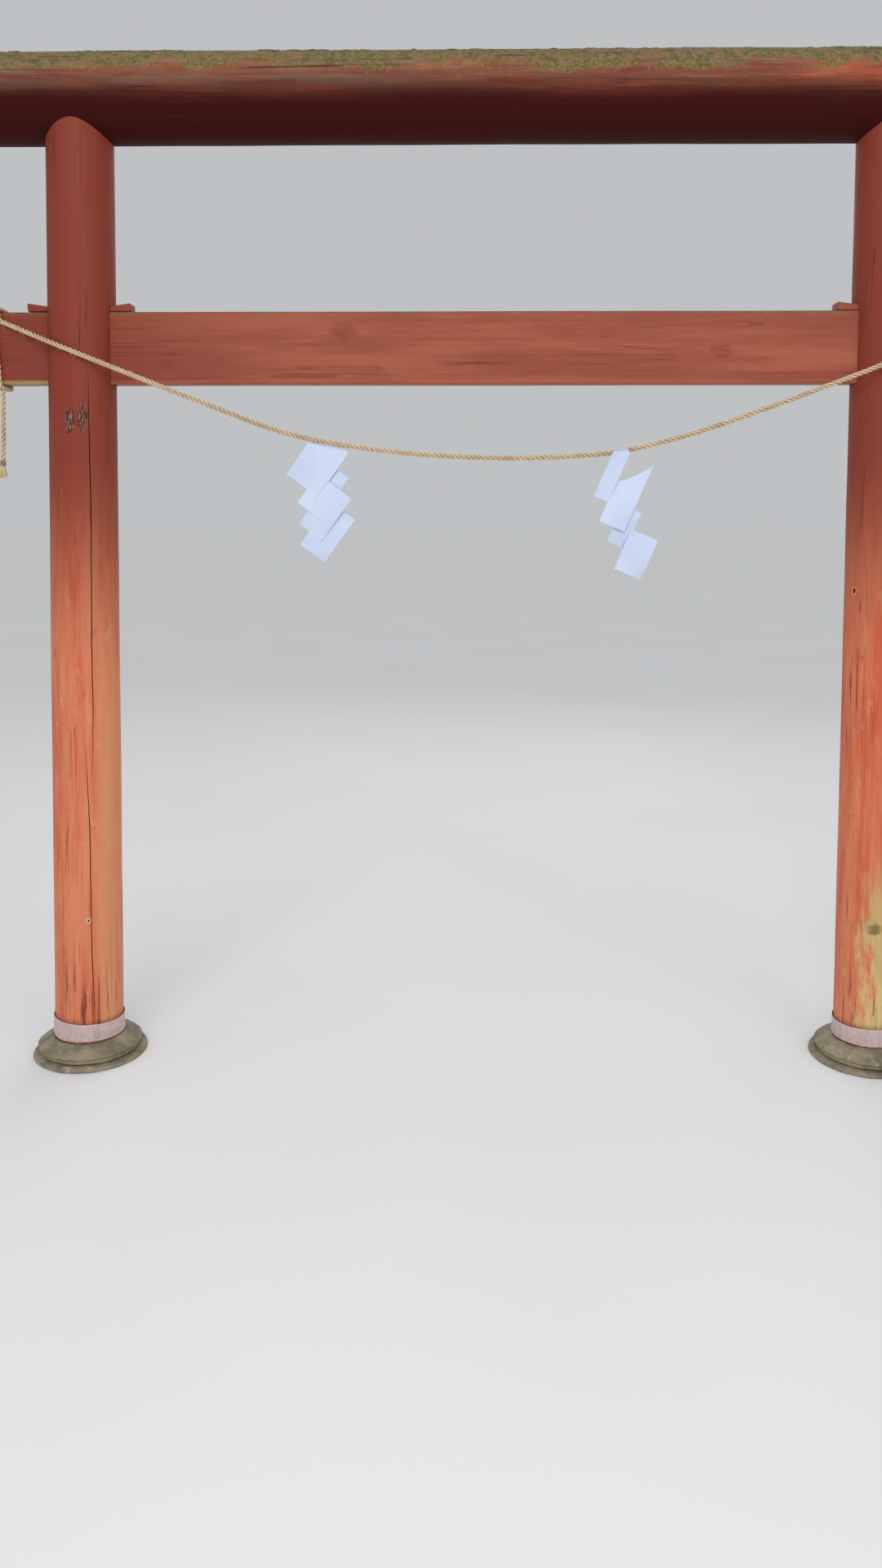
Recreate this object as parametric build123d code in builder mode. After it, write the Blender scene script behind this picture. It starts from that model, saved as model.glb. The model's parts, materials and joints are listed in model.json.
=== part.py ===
from build123d import *
import math
import os

# A round-log torii gate. Millimetres, +Z up, origin on the ground midway
# between the posts, the front facing -Y.

SIDES = {"left": -1, "right": 1}

# Posts: tapered logs that lean towards each other.
foot_spacing = 2333
post_lean = 3.33
post_foot_diameter = 201
post_taper = 0.0122
tenon_width = 60
tenon_height = 78

# Footings: a spread mortar bed under a round concrete plinth.
pad_diameter = 336
pad_height = 16
pad_chamfer = 7
plinth_diameter = 306
plinth_side_height = 24
plinth_height = 49
plinth_shoulder = 4
plinth_chamfer = 6

# Zinc collar wrapped round the foot of each post.
collar_height = 59
collar_thickness = 3.3

# Tie beam: a flat timber that goes through both posts.
beam_length = 2840
beam_height = 180
beam_thickness = 60
beam_bottom = 1905
beam_arris = 4

# Wedges driven in above the tie beam, two in each post.
wedge_width = 54
wedge_tip = 4
wedge_slope = 8
wedge_tip_gap = 12
wedge_projection = 46

# Lintel: a round log laid on the posts, its ends cut slightly oblique.
lintel_diameter = 215
lintel_length = 3100
lintel_height = 2589
lintel_end_slope = 8
lintel_end_chamfer = 8

# Clearance between pieces that are fitted into each other.
fit_gap = 0.3

# Twisted straw rope that hangs in front of the posts.
rope_diameter = 13
hitch_turns = 2
hitch_inset = 159
rope_bend_share = 0.45
rope_plane = 98.5

# The rope's route from the left hitch to the right one.
rope_route = [
    (-1249, -38, 2061),
    (-1186, -39.5, 2035.5),
    (-1081, -106, 1993),
    (-900, -99, 1922.5),
    (-718, -98, 1853),
    (-535, -98.5, 1784),
    (-435, -98.5, 1760.5),
    (-255, -98.5, 1733),
    (-80, -98.5, 1719),
    (100, -98.5, 1714.5),
    (270, -98.5, 1721.5),
    (385, -98.5, 1734.5),
    (560, -98.5, 1780),
    (740, -98, 1842.5),
    (910, -99, 1904.5),
    (1081, -106, 1969.5),
    (1186, -39.5, 2010.5),
    (1249, -38, 2035.5),
]

# The loose end below each hitch, from the hitch downwards.
tail_route = [(0, 0, 0), (4, -2, -95), (14, -4, -190)]

# Folded paper streamers: the place on the rope, the turn from the vertical and
# the panels. A panel is its left and right edge across the turned paper, the
# drop of its top at each of those edges and the drop of its bottom.
streamer_thickness = 6
streamers = {
    "left": (
        (-420, 1756),
        36.7,
        [(-22, 77, 24, -19, 116), (43, 113, 28, 28, 158), (77, 150, 66, 66, 200), (110, 188, 105, 105, 242)],
    ),
    "right": (
        (354, 1733),
        22.6,
        [(-15, 29, -8, 8, 128), (24, 95, 71, 4, 181), (65, 117, 120, 120, 220), (110, 187, 167, 167, 277)],
    ),
}

lean_tangent = math.tan(math.radians(post_lean))
plinth_top = pad_height + plinth_height
beam_top = beam_bottom + beam_height
lintel_bottom = lintel_height - lintel_diameter / 2


def post_x(height):
    """Distance of a post's axis from the middle of the gate at a height."""
    return foot_spacing / 2 - height * lean_tangent


def post_radius(height):
    """Radius of a post at a height."""
    return (post_foot_diameter - post_taper * height) / 2


def post_plane(side, height):
    """Plane across a post's axis at a height above the ground."""
    lean = math.radians(post_lean)
    return Plane(
        origin=(side * post_x(height), 0, height),
        x_dir=(math.cos(lean), 0, side * math.sin(lean)),
        z_dir=(-side * math.sin(lean), 0, math.cos(lean)),
    )


def make_log(side, low, high):
    """Tapered log on a post's axis between two heights."""
    foot = post_plane(side, low)
    length = (high - low) / math.cos(math.radians(post_lean))
    with BuildPart() as log:
        with BuildSketch(Plane(foot.origin, x_dir=foot.x_dir, z_dir=(0, -1, 0))):
            with BuildLine():
                Polyline(
                    (0, 0), (post_radius(low), 0), (post_radius(high), length), (0, length),
                    close=True,
                )
            make_face()
        revolve(axis=Axis(foot.origin, foot.z_dir))
    return log.part


# The log and the post's bore as tools, which the fitted pieces are cut with.
with BuildPart() as lintel_bed:
    with BuildSketch(Plane.YZ):
        with Locations((0, lintel_height)):
            Circle(lintel_diameter / 2 + fit_gap)
    extrude(amount=lintel_length, both=True)


def round_between(side, low, high, radius):
    """Cylinder on a post's axis between two heights."""
    length = (high - low) / math.cos(math.radians(post_lean))
    with BuildPart() as cylinder:
        with BuildSketch(post_plane(side, low)):
            Circle(radius)
        extrude(amount=length)
    return cylinder.part


# Concrete was cast and zinc wrapped round the thick end of each post.
bore_radius = post_radius(0) + fit_gap
bores = {
    name: round_between(side, -pad_height, 2 * plinth_top, bore_radius)
    for name, side in SIDES.items()
}


def write(piece, name):
    """Label a finished piece and write its file."""
    piece.part.label = name
    export_step(piece.part, f"parts/{name}.step")
    print(name, "volume", round(piece.part.volume))


def make_footing(name, side):
    """Mortar bed and round concrete plinth, both bored for the post."""
    middle = side * post_x(plinth_top)
    bore = bores[name]
    with BuildPart() as pad:
        with BuildSketch():
            with Locations((middle, 0)):
                Circle(pad_diameter / 2)
        extrude(amount=pad_height)
        rim = pad.edges().filter_by(GeomType.CIRCLE).group_by(Axis.Z)[-1]
        chamfer(rim, length=pad_chamfer)
        add(bore, mode=Mode.SUBTRACT)
    write(pad, f"pad_{name}")

    shoulder = bore_radius + collar_thickness + plinth_shoulder
    with BuildPart() as plinth:
        with BuildSketch(Plane((middle, 0, pad_height), x_dir=(1, 0, 0), z_dir=(0, -1, 0))):
            with BuildLine():
                Polyline(
                    (0, 0),
                    (plinth_diameter / 2, 0),
                    (plinth_diameter / 2, plinth_side_height - plinth_chamfer),
                    (plinth_diameter / 2 - plinth_chamfer, plinth_side_height),
                    (shoulder, plinth_height),
                    (0, plinth_height),
                    close=True,
                )
            make_face()
        revolve(axis=Axis((middle, 0, 0), (0, 0, 1)))
        add(bore, mode=Mode.SUBTRACT)
    write(plinth, f"plinth_{name}")


def make_collar(name, side):
    """Sheet band round the post's foot, cut level where it stands on the plinth."""
    top = plinth_top + collar_height
    inside = round_between(side, pad_height, top, bore_radius)
    outside = round_between(side, pad_height, top, bore_radius + collar_thickness)
    with BuildPart() as collar:
        add(outside)
        add(inside, mode=Mode.SUBTRACT)
        split(bisect_by=Plane.XY.offset(plinth_top), keep=Keep.TOP)
    write(collar, f"collar_{name}")


def make_post(name, side):
    """Leaning log with a coped and tenoned head and a mortise for the beam."""
    axis_at_beam = side * post_x(beam_top)
    head = lintel_height - lintel_diameter / 4
    reach = post_radius(beam_bottom) + beam_height * lean_tangent + fit_gap
    log = make_log(side, -pad_height, head)
    with BuildPart() as post:
        add(log)
        split(bisect_by=Plane.XY, keep=Keep.TOP)
        add(lintel_bed.part, mode=Mode.SUBTRACT)
        with BuildSketch(Plane.XY.offset(lintel_bottom - tenon_height / 2)):
            with Locations((side * post_x(lintel_bottom), 0)):
                Rectangle(tenon_width, tenon_width)
        extrude(amount=tenon_height * 3 / 2)
        with BuildSketch(Plane.XZ.offset(-beam_thickness / 2 - fit_gap)):
            with BuildLine():
                Polyline(
                    (axis_at_beam - 2 * reach, beam_bottom),
                    (axis_at_beam + 2 * reach, beam_bottom),
                    (axis_at_beam + 2 * reach, mortise_roof(2 * reach)),
                    (axis_at_beam, mortise_roof(0)),
                    (axis_at_beam - 2 * reach, mortise_roof(2 * reach)),
                    close=True,
                )
            make_face()
        extrude(amount=beam_thickness + 2 * fit_gap, mode=Mode.SUBTRACT)
    write(post, f"post_{name}")


def mortise_roof(distance):
    """Height of the mortise's flared roof at a distance from the post's axis."""
    rise = (distance - wedge_tip_gap) * math.tan(math.radians(wedge_slope))
    return beam_top + wedge_tip + rise + fit_gap


def make_wedges(name, side):
    """The two wedges of one post, each with its thick end outside."""
    axis_at_beam = side * post_x(beam_top)
    length = post_radius(beam_top) + wedge_projection - wedge_tip_gap
    thick = wedge_tip + length * math.tan(math.radians(wedge_slope))
    for place, way in (("inner", -side), ("outer", side)):
        tip = axis_at_beam + way * wedge_tip_gap
        with BuildPart() as wedge:
            with BuildSketch(Plane.XZ.offset(-wedge_width / 2)):
                with BuildLine():
                    Polyline(
                        (tip, beam_top),
                        (tip + way * length, beam_top),
                        (tip + way * length, beam_top + thick),
                        (tip, beam_top + wedge_tip),
                        close=True,
                    )
                make_face()
            extrude(amount=wedge_width)
        write(wedge, f"wedge_{name}_{place}")


def make_beam():
    """Flat tie beam with its long edges eased."""
    with BuildPart() as beam:
        with BuildSketch(Plane.YZ.offset(-beam_length / 2)):
            with Locations((0, beam_bottom + beam_height / 2)):
                Rectangle(beam_thickness, beam_height)
        extrude(amount=beam_length)
        chamfer(beam.edges().filter_by(Axis.X), length=beam_arris)
        chamfer(beam.faces().filter_by(Axis.X).edges(), length=beam_arris / 2)
    write(beam, "tie_beam")


def make_lintel():
    """Lintel log, mortised for the tenons of both posts."""
    half_drop = lintel_diameter / 2 * math.tan(math.radians(lintel_end_slope))
    with BuildPart() as lintel:
        with BuildSketch(Plane.YZ.offset(-lintel_length / 2)):
            with Locations((0, lintel_height)):
                Circle(lintel_diameter / 2)
        extrude(amount=lintel_length)
        for side in SIDES.values():
            end = Plane(
                origin=(side * (lintel_length / 2 - half_drop), 0, lintel_height),
                x_dir=(0, 1, 0),
                z_dir=(
                    side * math.cos(math.radians(lintel_end_slope)),
                    0,
                    -math.sin(math.radians(lintel_end_slope)),
                ),
            )
            split(bisect_by=end, keep=Keep.BOTTOM)
        chamfer(lintel.edges().filter_by(GeomType.ELLIPSE), length=lintel_end_chamfer)
        for side in SIDES.values():
            with BuildSketch(Plane.XY.offset(lintel_bottom - tenon_height)):
                with Locations((side * post_x(lintel_bottom), 0)):
                    Rectangle(tenon_width + 2 * fit_gap, tenon_width + 2 * fit_gap)
            extrude(amount=2 * tenon_height + fit_gap, mode=Mode.SUBTRACT)
    write(lintel, "lintel_log")


def bend_radii(route):
    """One radius for each corner of a cord's route, as large as its runs allow."""
    points = [Vector(*point) for point in route]
    radii = []
    for before, corner, after in zip(points, points[1:], points[2:]):
        run_in = corner - before
        run_out = after - corner
        turn = math.radians(run_in.get_angle(run_out))
        shorter = min(run_in.length, run_out.length)
        radii.append(rope_bend_share * shorter / math.tan(turn / 2))
    return radii


def make_cord(name, route, cut=None):
    """Plain tube along a route, cut off square to the gate at its ends."""
    radii = bend_radii(route)
    with BuildPart() as cord:
        with BuildLine():
            path = FilletPolyline(*route, radius=radii)
        with BuildSketch(Plane(origin=path @ 0, z_dir=path % 0)):
            Circle(rope_diameter / 2)
        sweep(path=path)
        if cut:
            split(bisect_by=Plane.YZ.offset(-cut), keep=Keep.TOP)
            split(bisect_by=Plane.YZ.offset(cut), keep=Keep.BOTTOM)
    section = math.pi * rope_diameter**2 / 4
    print(name, "radii", [round(radius) for radius in radii])
    print(name, "length", round(path.length), "section by length", round(section * path.length))
    write(cord, name)


def make_hitch(name, side):
    """Outer shape of the rope's turns round the end of the tie beam."""
    width = hitch_turns * rope_diameter
    start = side * (beam_length / 2 - hitch_inset) - width / 2
    middle = (0, beam_bottom + beam_height / 2)
    inner_y = beam_thickness + 2 * fit_gap
    inner_z = beam_height + 2 * fit_gap
    with BuildPart() as hitch:
        with BuildSketch(Plane.YZ.offset(start)):
            with Locations(middle):
                RectangleRounded(
                    inner_y + 2 * rope_diameter, inner_z + 2 * rope_diameter, rope_diameter
                )
                Rectangle(inner_y, inner_z, mode=Mode.SUBTRACT)
        extrude(amount=width)
    write(hitch, f"rope_hitch_{name}")


def make_tail(name, side):
    """Loose end of the rope below its hitch."""
    top = (
        side * (beam_length / 2 - hitch_inset),
        -beam_thickness / 2 + rope_diameter / 2,
        beam_bottom - rope_diameter - 2 * fit_gap,
    )
    route = [(top[0] + side * x, top[1] + y, top[2] + z) for x, y, z in tail_route]
    make_cord(f"rope_tail_{name}", route)


def make_streamer(name, place, turn, panels):
    """Flat body of one folded paper streamer, hung against the rope."""
    front = rope_plane + rope_diameter / 2 + fit_gap
    hung = Plane(
        (place[0], -front, place[1]),
        x_dir=(math.cos(math.radians(turn)), 0, -math.sin(math.radians(turn))),
        z_dir=(0, -1, 0),
    )
    with BuildPart() as streamer:
        with BuildSketch(hung):
            for left, right, top_left, top_right, bottom in panels:
                with BuildLine():
                    Polyline(
                        (left, -top_left), (right, -top_right), (right, -bottom), (left, -bottom),
                        close=True,
                    )
                make_face()
        extrude(amount=streamer_thickness)
    write(streamer, f"streamer_{name}")


def main():
    """Build every piece of the gate and write it."""
    os.makedirs("parts", exist_ok=True)
    for name, side in SIDES.items():
        make_footing(name, side)
        make_collar(name, side)
        make_post(name, side)
        make_wedges(name, side)
        make_hitch(name, side)
        make_tail(name, side)
        make_streamer(name, *streamers[name])
    make_beam()
    make_lintel()
    rope_end = beam_length / 2 - hitch_inset - hitch_turns * rope_diameter / 2 - fit_gap
    make_cord("rope", rope_route, cut=rope_end)


main()
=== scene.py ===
import json
import math
import random
from collections import namedtuple
from contextlib import contextmanager
from functools import partial

import bmesh
import bpy
from bpy.props import FloatProperty, FloatVectorProperty, PointerProperty
from mathutils import Matrix, Vector, noise

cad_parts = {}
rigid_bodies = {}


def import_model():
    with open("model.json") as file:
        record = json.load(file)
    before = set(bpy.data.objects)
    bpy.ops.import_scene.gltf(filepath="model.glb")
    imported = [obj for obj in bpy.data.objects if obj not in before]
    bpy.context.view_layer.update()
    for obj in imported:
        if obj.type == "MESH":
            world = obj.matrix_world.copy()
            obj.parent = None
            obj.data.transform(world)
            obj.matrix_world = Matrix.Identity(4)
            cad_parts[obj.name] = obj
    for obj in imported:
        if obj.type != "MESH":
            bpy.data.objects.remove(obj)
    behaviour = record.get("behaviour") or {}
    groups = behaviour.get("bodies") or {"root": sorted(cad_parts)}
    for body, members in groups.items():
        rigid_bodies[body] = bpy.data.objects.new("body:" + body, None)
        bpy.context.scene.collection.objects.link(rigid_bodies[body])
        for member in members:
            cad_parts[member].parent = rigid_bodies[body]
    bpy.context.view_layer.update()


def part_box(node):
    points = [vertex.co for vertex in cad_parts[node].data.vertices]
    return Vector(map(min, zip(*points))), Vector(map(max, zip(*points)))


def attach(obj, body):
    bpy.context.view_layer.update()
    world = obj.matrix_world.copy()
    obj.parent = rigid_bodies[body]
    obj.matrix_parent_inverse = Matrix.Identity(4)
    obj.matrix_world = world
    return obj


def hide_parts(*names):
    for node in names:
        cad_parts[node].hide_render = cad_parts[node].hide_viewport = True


bl_info = {
    "name": "Round-log torii gate",
    "version": (1, 0, 0),
    "blender": (4, 5, 0),
    "location": "3D View > Sidebar > Torii",
    "description": "Weathered vermilion gate of round logs with a straw rope and paper streamers",
    "category": "Add Mesh",
}

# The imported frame, and the boxes that the pieces are sized from.
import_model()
SIDES = {"left": -1, "right": 1}
LINTEL_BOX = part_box("lintel_log")
BEAM_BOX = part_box("tie_beam")
PAD_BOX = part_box("pad_left")
PLINTH_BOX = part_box("plinth_left")
COLLAR_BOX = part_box("collar_left")
LINTEL_RADIUS = (LINTEL_BOX[1].z - LINTEL_BOX[0].z) / 2
LINTEL_AXIS = (LINTEL_BOX[1].z + LINTEL_BOX[0].z) / 2
# Turns what stands on the left into what stands on the right.
MIRROR = Matrix.Scale(-1, 4, (1, 0, 0))


# Sizes and colours that a user would change.


def to_linear(value):
    """Linear share of one colour channel written from 0 to 255."""
    value /= 255
    return value / 12.92 if value <= 0.04045 else ((value + 0.055) / 1.055) ** 2.4


def length(name, text, default):
    """Length property in metres."""
    return FloatProperty(name=name, description=text, default=default, unit="LENGTH", precision=4)


def colour(name, text, red, green, blue):
    """Colour property, written as it shows on the screen."""
    return FloatVectorProperty(
        name=name,
        description=text,
        default=[to_linear(channel) for channel in (red, green, blue)],
        subtype="COLOR",
        min=0,
        max=1,
    )


class GateSizes(bpy.types.PropertyGroup):
    """Sizes of the gate's pieces and of their weathering."""

    post_spacing: length("Post spacing", "Distance between the posts' axes at the ground", 2.333)
    post_lean: FloatProperty(
        name="Post lean",
        description="How far each post leans towards the other",
        default=math.radians(3.33),
        subtype="ANGLE",
    )
    foot_radius: length("Post radius", "Radius of a post at the ground", 0.1005)
    head_radius: length("Post head radius", "Radius of a post at its head", 0.0849)
    log_relief: length("Log relief", "Depth of the shallow waves that the drawknife left", 0.0022)
    fibre_relief: length("Fibre relief", "Depth of the ridges along the grain", 0.0006)
    crack_width: length("Crack width", "Widest opening of a drying crack", 0.0047)
    crack_depth: length("Crack depth", "Depth of a drying crack", 0.035)
    arris: length("Arris", "Rounding of the beam's long edges", 0.005)
    concrete_relief: length("Concrete relief", "Roughness of the footings", 0.0035)
    rope_diameter: length("Rope diameter", "Thickness of the straw rope", 0.013)
    rope_pitch: length("Rope pitch", "Length of one full twist of the rope", 0.039)
    hitch_inset: length("Hitch inset", "Distance of each hitch from the beam's end", 0.159)
    paper_thickness: length("Paper thickness", "Thickness of the folded paper", 0.0005)
    moss_depth: length("Moss depth", "Height of the moss cushions on the lintel", 0.006)


class GateColours(bpy.types.PropertyGroup):
    """Colours of the gate's finishes."""

    sound_paint: colour("Sound paint", "Vermilion where it still covers", 199, 86, 56)
    faded_paint: colour("Faded paint", "Vermilion bleached to an orange tan", 214, 134, 96)
    tan_paint: colour("Tan paint", "Vermilion gone to tan on the open flank", 212, 146, 104)
    # Deep paint: dark vermilion, also laid as painted shade at the posts' heads and at the beam's
    # left end.
    deep_paint_and_shade: colour("Deep paint", "Vermilion gone dark at the posts' heads", 126, 49, 33)
    beam_paint: colour("Beam paint", "Brown red of the tie beam", 142, 66, 47)
    beam_worn: colour("Worn beam paint", "Paint rubbed thin on the beam", 162, 88, 63)
    lintel_paint: colour("Lintel paint", "Brown red on the lintel's face", 128, 76, 54)
    # Lintel underside: dark red painted shade under the log; the same colour marks the growth
    # rings in the ends.
    underside_shade_and_rings: colour("Lintel underside", "Dark red under the lintel", 58, 12, 9)
    dark_check: colour("Checks", "Dirt in the fine cracks of the wood", 58, 28, 20)
    bare_wood: colour("Bare wood", "Grey brown wood where paint has gone", 134, 108, 86)
    pale_wood: colour("Pale wood", "Cream wood round a knot", 226, 190, 148)
    algae: colour("Algae", "Yellow green film on damp wood and stone", 158, 148, 96)
    algae_light: colour("Dry algae", "Paler film on the front of the right post", 206, 188, 126)
    moss_dark: colour("Moss", "Olive cushions on the lintel", 86, 84, 46)
    moss_light: colour("Moss tips", "Yellow green tips of the moss", 134, 129, 74)
    concrete: colour("Concrete", "Brown grey of the footings", 152, 140, 118)
    concrete_dark: colour("Stained concrete", "Damp stains on the footings", 112, 104, 86)
    zinc: colour("Zinc", "Dull zinc with a mauve cast", 206, 182, 179)
    zinc_dark: colour("Weathered zinc", "Darker crystals in the zinc", 170, 149, 148)
    straw: colour("Straw", "Dry straw of the rope", 230, 206, 170)
    # Old straw: brown straw laid at random, also the painted shade between the strands.
    old_straw_and_shade: colour("Old straw", "Brown straw between the strands", 140, 104, 72)
    # Paper: white paper with a blue painted shade from the sky laid into its colour.
    paper: colour("Paper", "Bluish white paper", 198, 209, 231)
    # Paper fibres and shade: deeper painted shade laid in soft patches, also the faint fibres.
    paper_shade: colour("Paper shade", "Creases and damp in the paper", 176, 189, 216)
    floor: colour("Floor", "Pale studio floor", 226, 226, 226)


def sizes():
    """The gate's sizes in this scene."""
    return bpy.context.scene.gate_sizes


def colours():
    """The gate's colours in this scene."""
    return bpy.context.scene.gate_colours


# Tools for modelling.


def select_only(*pieces):
    """Select these pieces alone, the first one active."""
    for other in bpy.context.view_layer.objects:
        other.select_set(False)
    for piece in pieces:
        piece.select_set(True)
    bpy.context.view_layer.objects.active = pieces[0]


@contextmanager
def editing(piece, mode="EDGE"):
    """Edit one piece, with nothing selected to begin with."""
    select_only(piece)
    bpy.ops.object.mode_set(mode="EDIT")
    bpy.ops.mesh.select_mode(type=mode)
    bpy.ops.mesh.select_all(action="DESELECT")
    yield piece
    bpy.ops.object.mode_set(mode="OBJECT")


def pick(piece, kind, wanted):
    """Select the vertices, edges or faces of the edited piece that are wanted."""
    mesh = bmesh.from_edit_mesh(piece.data)
    for element in getattr(mesh, kind):
        element.select_set(False)
    for element in getattr(mesh, kind):
        if wanted(element):
            element.select_set(True)
    mesh.select_flush_mode()
    bmesh.update_edit_mesh(piece.data)


def runs_along(axis):
    """Test for edges that lie along an axis."""
    direction = Vector(axis).normalized()

    def wanted(edge):
        run = edge.verts[1].co - edge.verts[0].co
        return abs(run.normalized().dot(direction)) > 0.98

    return wanted


def sharper_than(angle):
    """Test for edges whose faces meet at more than an angle."""
    return lambda edge: edge.calc_face_angle(0) > angle


def lies_where(test):
    """Test for edges of which both ends pass a test of their place."""
    return lambda edge: all(test(vertex.co) for vertex in edge.verts)


def set_place(piece):
    """Put a piece's place, turn and scale into its mesh."""
    select_only(piece)
    bpy.ops.object.transform_apply(location=True, rotation=True, scale=True)


def take_new(name):
    """Name the primitive that was just added and put its place into its mesh."""
    piece = bpy.context.object
    piece.name = name
    set_place(piece)
    return piece


def add_block(name, low, high):
    """Square block between its lowest and its highest corner."""
    bpy.ops.mesh.primitive_cube_add(size=1, location=(low + high) / 2, scale=high - low)
    return take_new(name)


def add_modifier(piece, kind, **settings):
    """Add a modifier with its settings and apply it."""
    select_only(piece)
    modifier = piece.modifiers.new(kind.title(), kind)
    for name, value in settings.items():
        setattr(modifier, name, value)
    bpy.ops.object.modifier_apply(modifier=modifier.name)


def roughen(piece, depth, grain, stretch=(1, 1, 1), turn=(0, 0, 0), offset=0.0):
    """Wear a surface inwards by up to depth, in hollows of the grain's size."""
    texture = bpy.data.textures.new("hollows", "CLOUDS")
    texture.noise_scale = grain
    texture.noise_depth = 2
    guide = bpy.data.objects.new("guide", None)
    bpy.context.collection.objects.link(guide)
    guide.location = (offset, offset, offset)
    guide.rotation_euler = turn
    guide.scale = stretch
    bpy.context.view_layer.update()
    add_modifier(
        piece,
        "DISPLACE",
        texture=texture,
        texture_coords="OBJECT",
        texture_coords_object=guide,
        mid_level=1.0,
        strength=depth,
    )
    bpy.data.objects.remove(guide)
    bpy.data.textures.remove(texture)


def cut_below(height):
    """Cut the edited piece off below a height and close the cut."""
    bpy.ops.mesh.select_all(action="SELECT")
    bpy.ops.mesh.bisect(
        plane_co=(0, 0, height), plane_no=(0, 0, 1), use_fill=True, clear_inner=True
    )


def carve(piece, cutter):
    """Cut one shape out of a piece; the cut faces take the piece's second material."""
    for each in (piece, cutter):
        while len(each.data.materials) < 2:
            each.data.materials.append(None)
    for face in cutter.data.polygons:
        face.material_index = 1
    add_modifier(piece, "BOOLEAN", object=cutter, operation="DIFFERENCE", solver="EXACT")
    bpy.data.objects.remove(cutter)


def mark_ends(piece):
    """Give the uncut faces that look along X the piece's third material."""
    for face in piece.data.polygons:
        if abs(face.normal.x) > 0.9 and face.material_index == 0:
            face.material_index = 2


def finish_piece(piece, nodes, materials, angle):
    """Shade a modelled piece, give it its finish and let it stand for its CAD nodes."""
    chosen = [face.material_index for face in piece.data.polygons]
    piece.data.materials.clear()
    for material in materials:
        piece.data.materials.append(material)
    for face, index in zip(piece.data.polygons, chosen):
        face.material_index = min(index, len(materials) - 1)
    select_only(piece)
    bpy.ops.object.shade_smooth_by_angle(angle=math.radians(angle))
    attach(piece, "root")
    if nodes:
        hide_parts(*nodes)


def copy_of(piece, name, place):
    """Copy a piece with its own mesh, moved or mirrored by a matrix."""
    twin = piece.copy()
    twin.data = piece.data.copy()
    twin.name = name
    bpy.context.collection.objects.link(twin)
    twin.data.transform(place)
    if place.determinant() < 0:
        twin.data.flip_normals()
    return twin


def mesh_piece(name, points, faces, sheet=None):
    """New piece from points and faces, with an optional UV place for each point."""
    mesh = bpy.data.meshes.new(name)
    mesh.from_pydata([tuple(point) for point in points], [], faces)
    if sheet:
        layer = mesh.uv_layers.new(name="along")
        for loop in mesh.loops:
            layer.data[loop.index].uv = sheet[loop.vertex_index]
    piece = bpy.data.objects.new(name, mesh)
    bpy.context.collection.objects.link(piece)
    return piece


def lathe(name, profile, centre, axis, steps):
    """Turn a closed profile of (radius, height) points round an axis."""
    axis = Vector(axis).normalized()
    across = Vector((0, 1, 0)).cross(axis).normalized()
    bpy.ops.mesh.primitive_circle_add(vertices=len(profile), radius=1)
    piece = bpy.context.object
    piece.name = name
    for vertex, (radius, height) in zip(piece.data.vertices, profile):
        vertex.co = Vector(centre) + across * radius + axis * height
    with editing(piece):
        bpy.ops.mesh.select_all(action="SELECT")
        bpy.ops.mesh.spin(steps=steps, angle=2 * math.pi, center=centre, axis=axis)
        bpy.ops.mesh.select_all(action="SELECT")
        bpy.ops.mesh.remove_doubles(threshold=0.0001)
        bpy.ops.mesh.normals_make_consistent(inside=False)
    return piece


def add_log(name, foot, head, foot_radius, head_radius, sides):
    """Tapered log between two points."""
    run = head - foot
    bpy.ops.mesh.primitive_cone_add(
        vertices=sides,
        radius1=foot_radius,
        radius2=head_radius,
        depth=run.length,
        location=(foot + head) / 2,
        rotation=run.to_track_quat("Z", "Y").to_euler(),
    )
    return take_new(name)


def ring_log(log, axis, rings):
    """Divide a log's long edges, so that its surface can be shaped."""
    along = runs_along(axis)
    long_edge = 0.5
    with editing(log):
        pick(log, "edges", lambda edge: edge.calc_length() > long_edge and along(edge))
        bpy.ops.mesh.subdivide(number_cuts=rings)


# The blade that opens a drying crack: cuts along it, how thin its tip and its
# inner edge are, how shallow its tip is, and how close together its slow and
# its quick bends are, in waves a metre.
BLADE_CUTS = 40
BLADE_TIP = 0.1
BLADE_EDGE = 0.2
BLADE_TIP_DEPTH = 0.15
BLADE_SWAY = 3
BLADE_JITTER = 30


def add_blade(middle, outward, along, reach, depth, width, seed, wander, slant=0.0):
    """Thin wandering wedge that opens a drying crack in a log."""
    outward = Vector(outward).normalized()
    along = Vector(along).normalized()
    bpy.ops.mesh.primitive_cube_add(size=1)
    bpy.context.object.scale = (width, 2 * depth, reach)
    blade = take_new("blade")
    with editing(blade):
        pick(blade, "edges", runs_along((0, 0, 1)))
        bpy.ops.mesh.subdivide(number_cuts=BLADE_CUTS)
    for vertex in blade.data.vertices:
        share = abs(vertex.co.z / reach * 2)
        thin = max(BLADE_TIP, 1 - share**4)
        if vertex.co.y < 0:
            thin *= BLADE_EDGE
        sway = noise.noise(Vector((seed, 0, vertex.co.z * BLADE_SWAY))) * wander * 2
        jitter = noise.noise(Vector((seed, 5, vertex.co.z * BLADE_JITTER))) * wander * 0.4
        vertex.co.x = vertex.co.x * thin + sway + jitter + slant * vertex.co.z
        vertex.co.y *= max(BLADE_TIP_DEPTH, 1 - share**4)
    side = outward.cross(along).normalized()
    turn = Matrix((side, outward, along)).transposed().to_4x4()
    blade.data.transform(Matrix.Translation(Vector(middle)) @ turn)
    blade.data.update()
    return blade


# Tools for materials.


def put(tree, kind, inputs=None, **settings):
    """Add a node, make its settings, and fill or join its inputs."""
    node = tree.nodes.new(kind)
    for name, value in settings.items():
        setattr(node, name, value)
    for name, value in (inputs or {}).items():
        fill_socket(tree, node.inputs[name], value)
    return node


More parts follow.
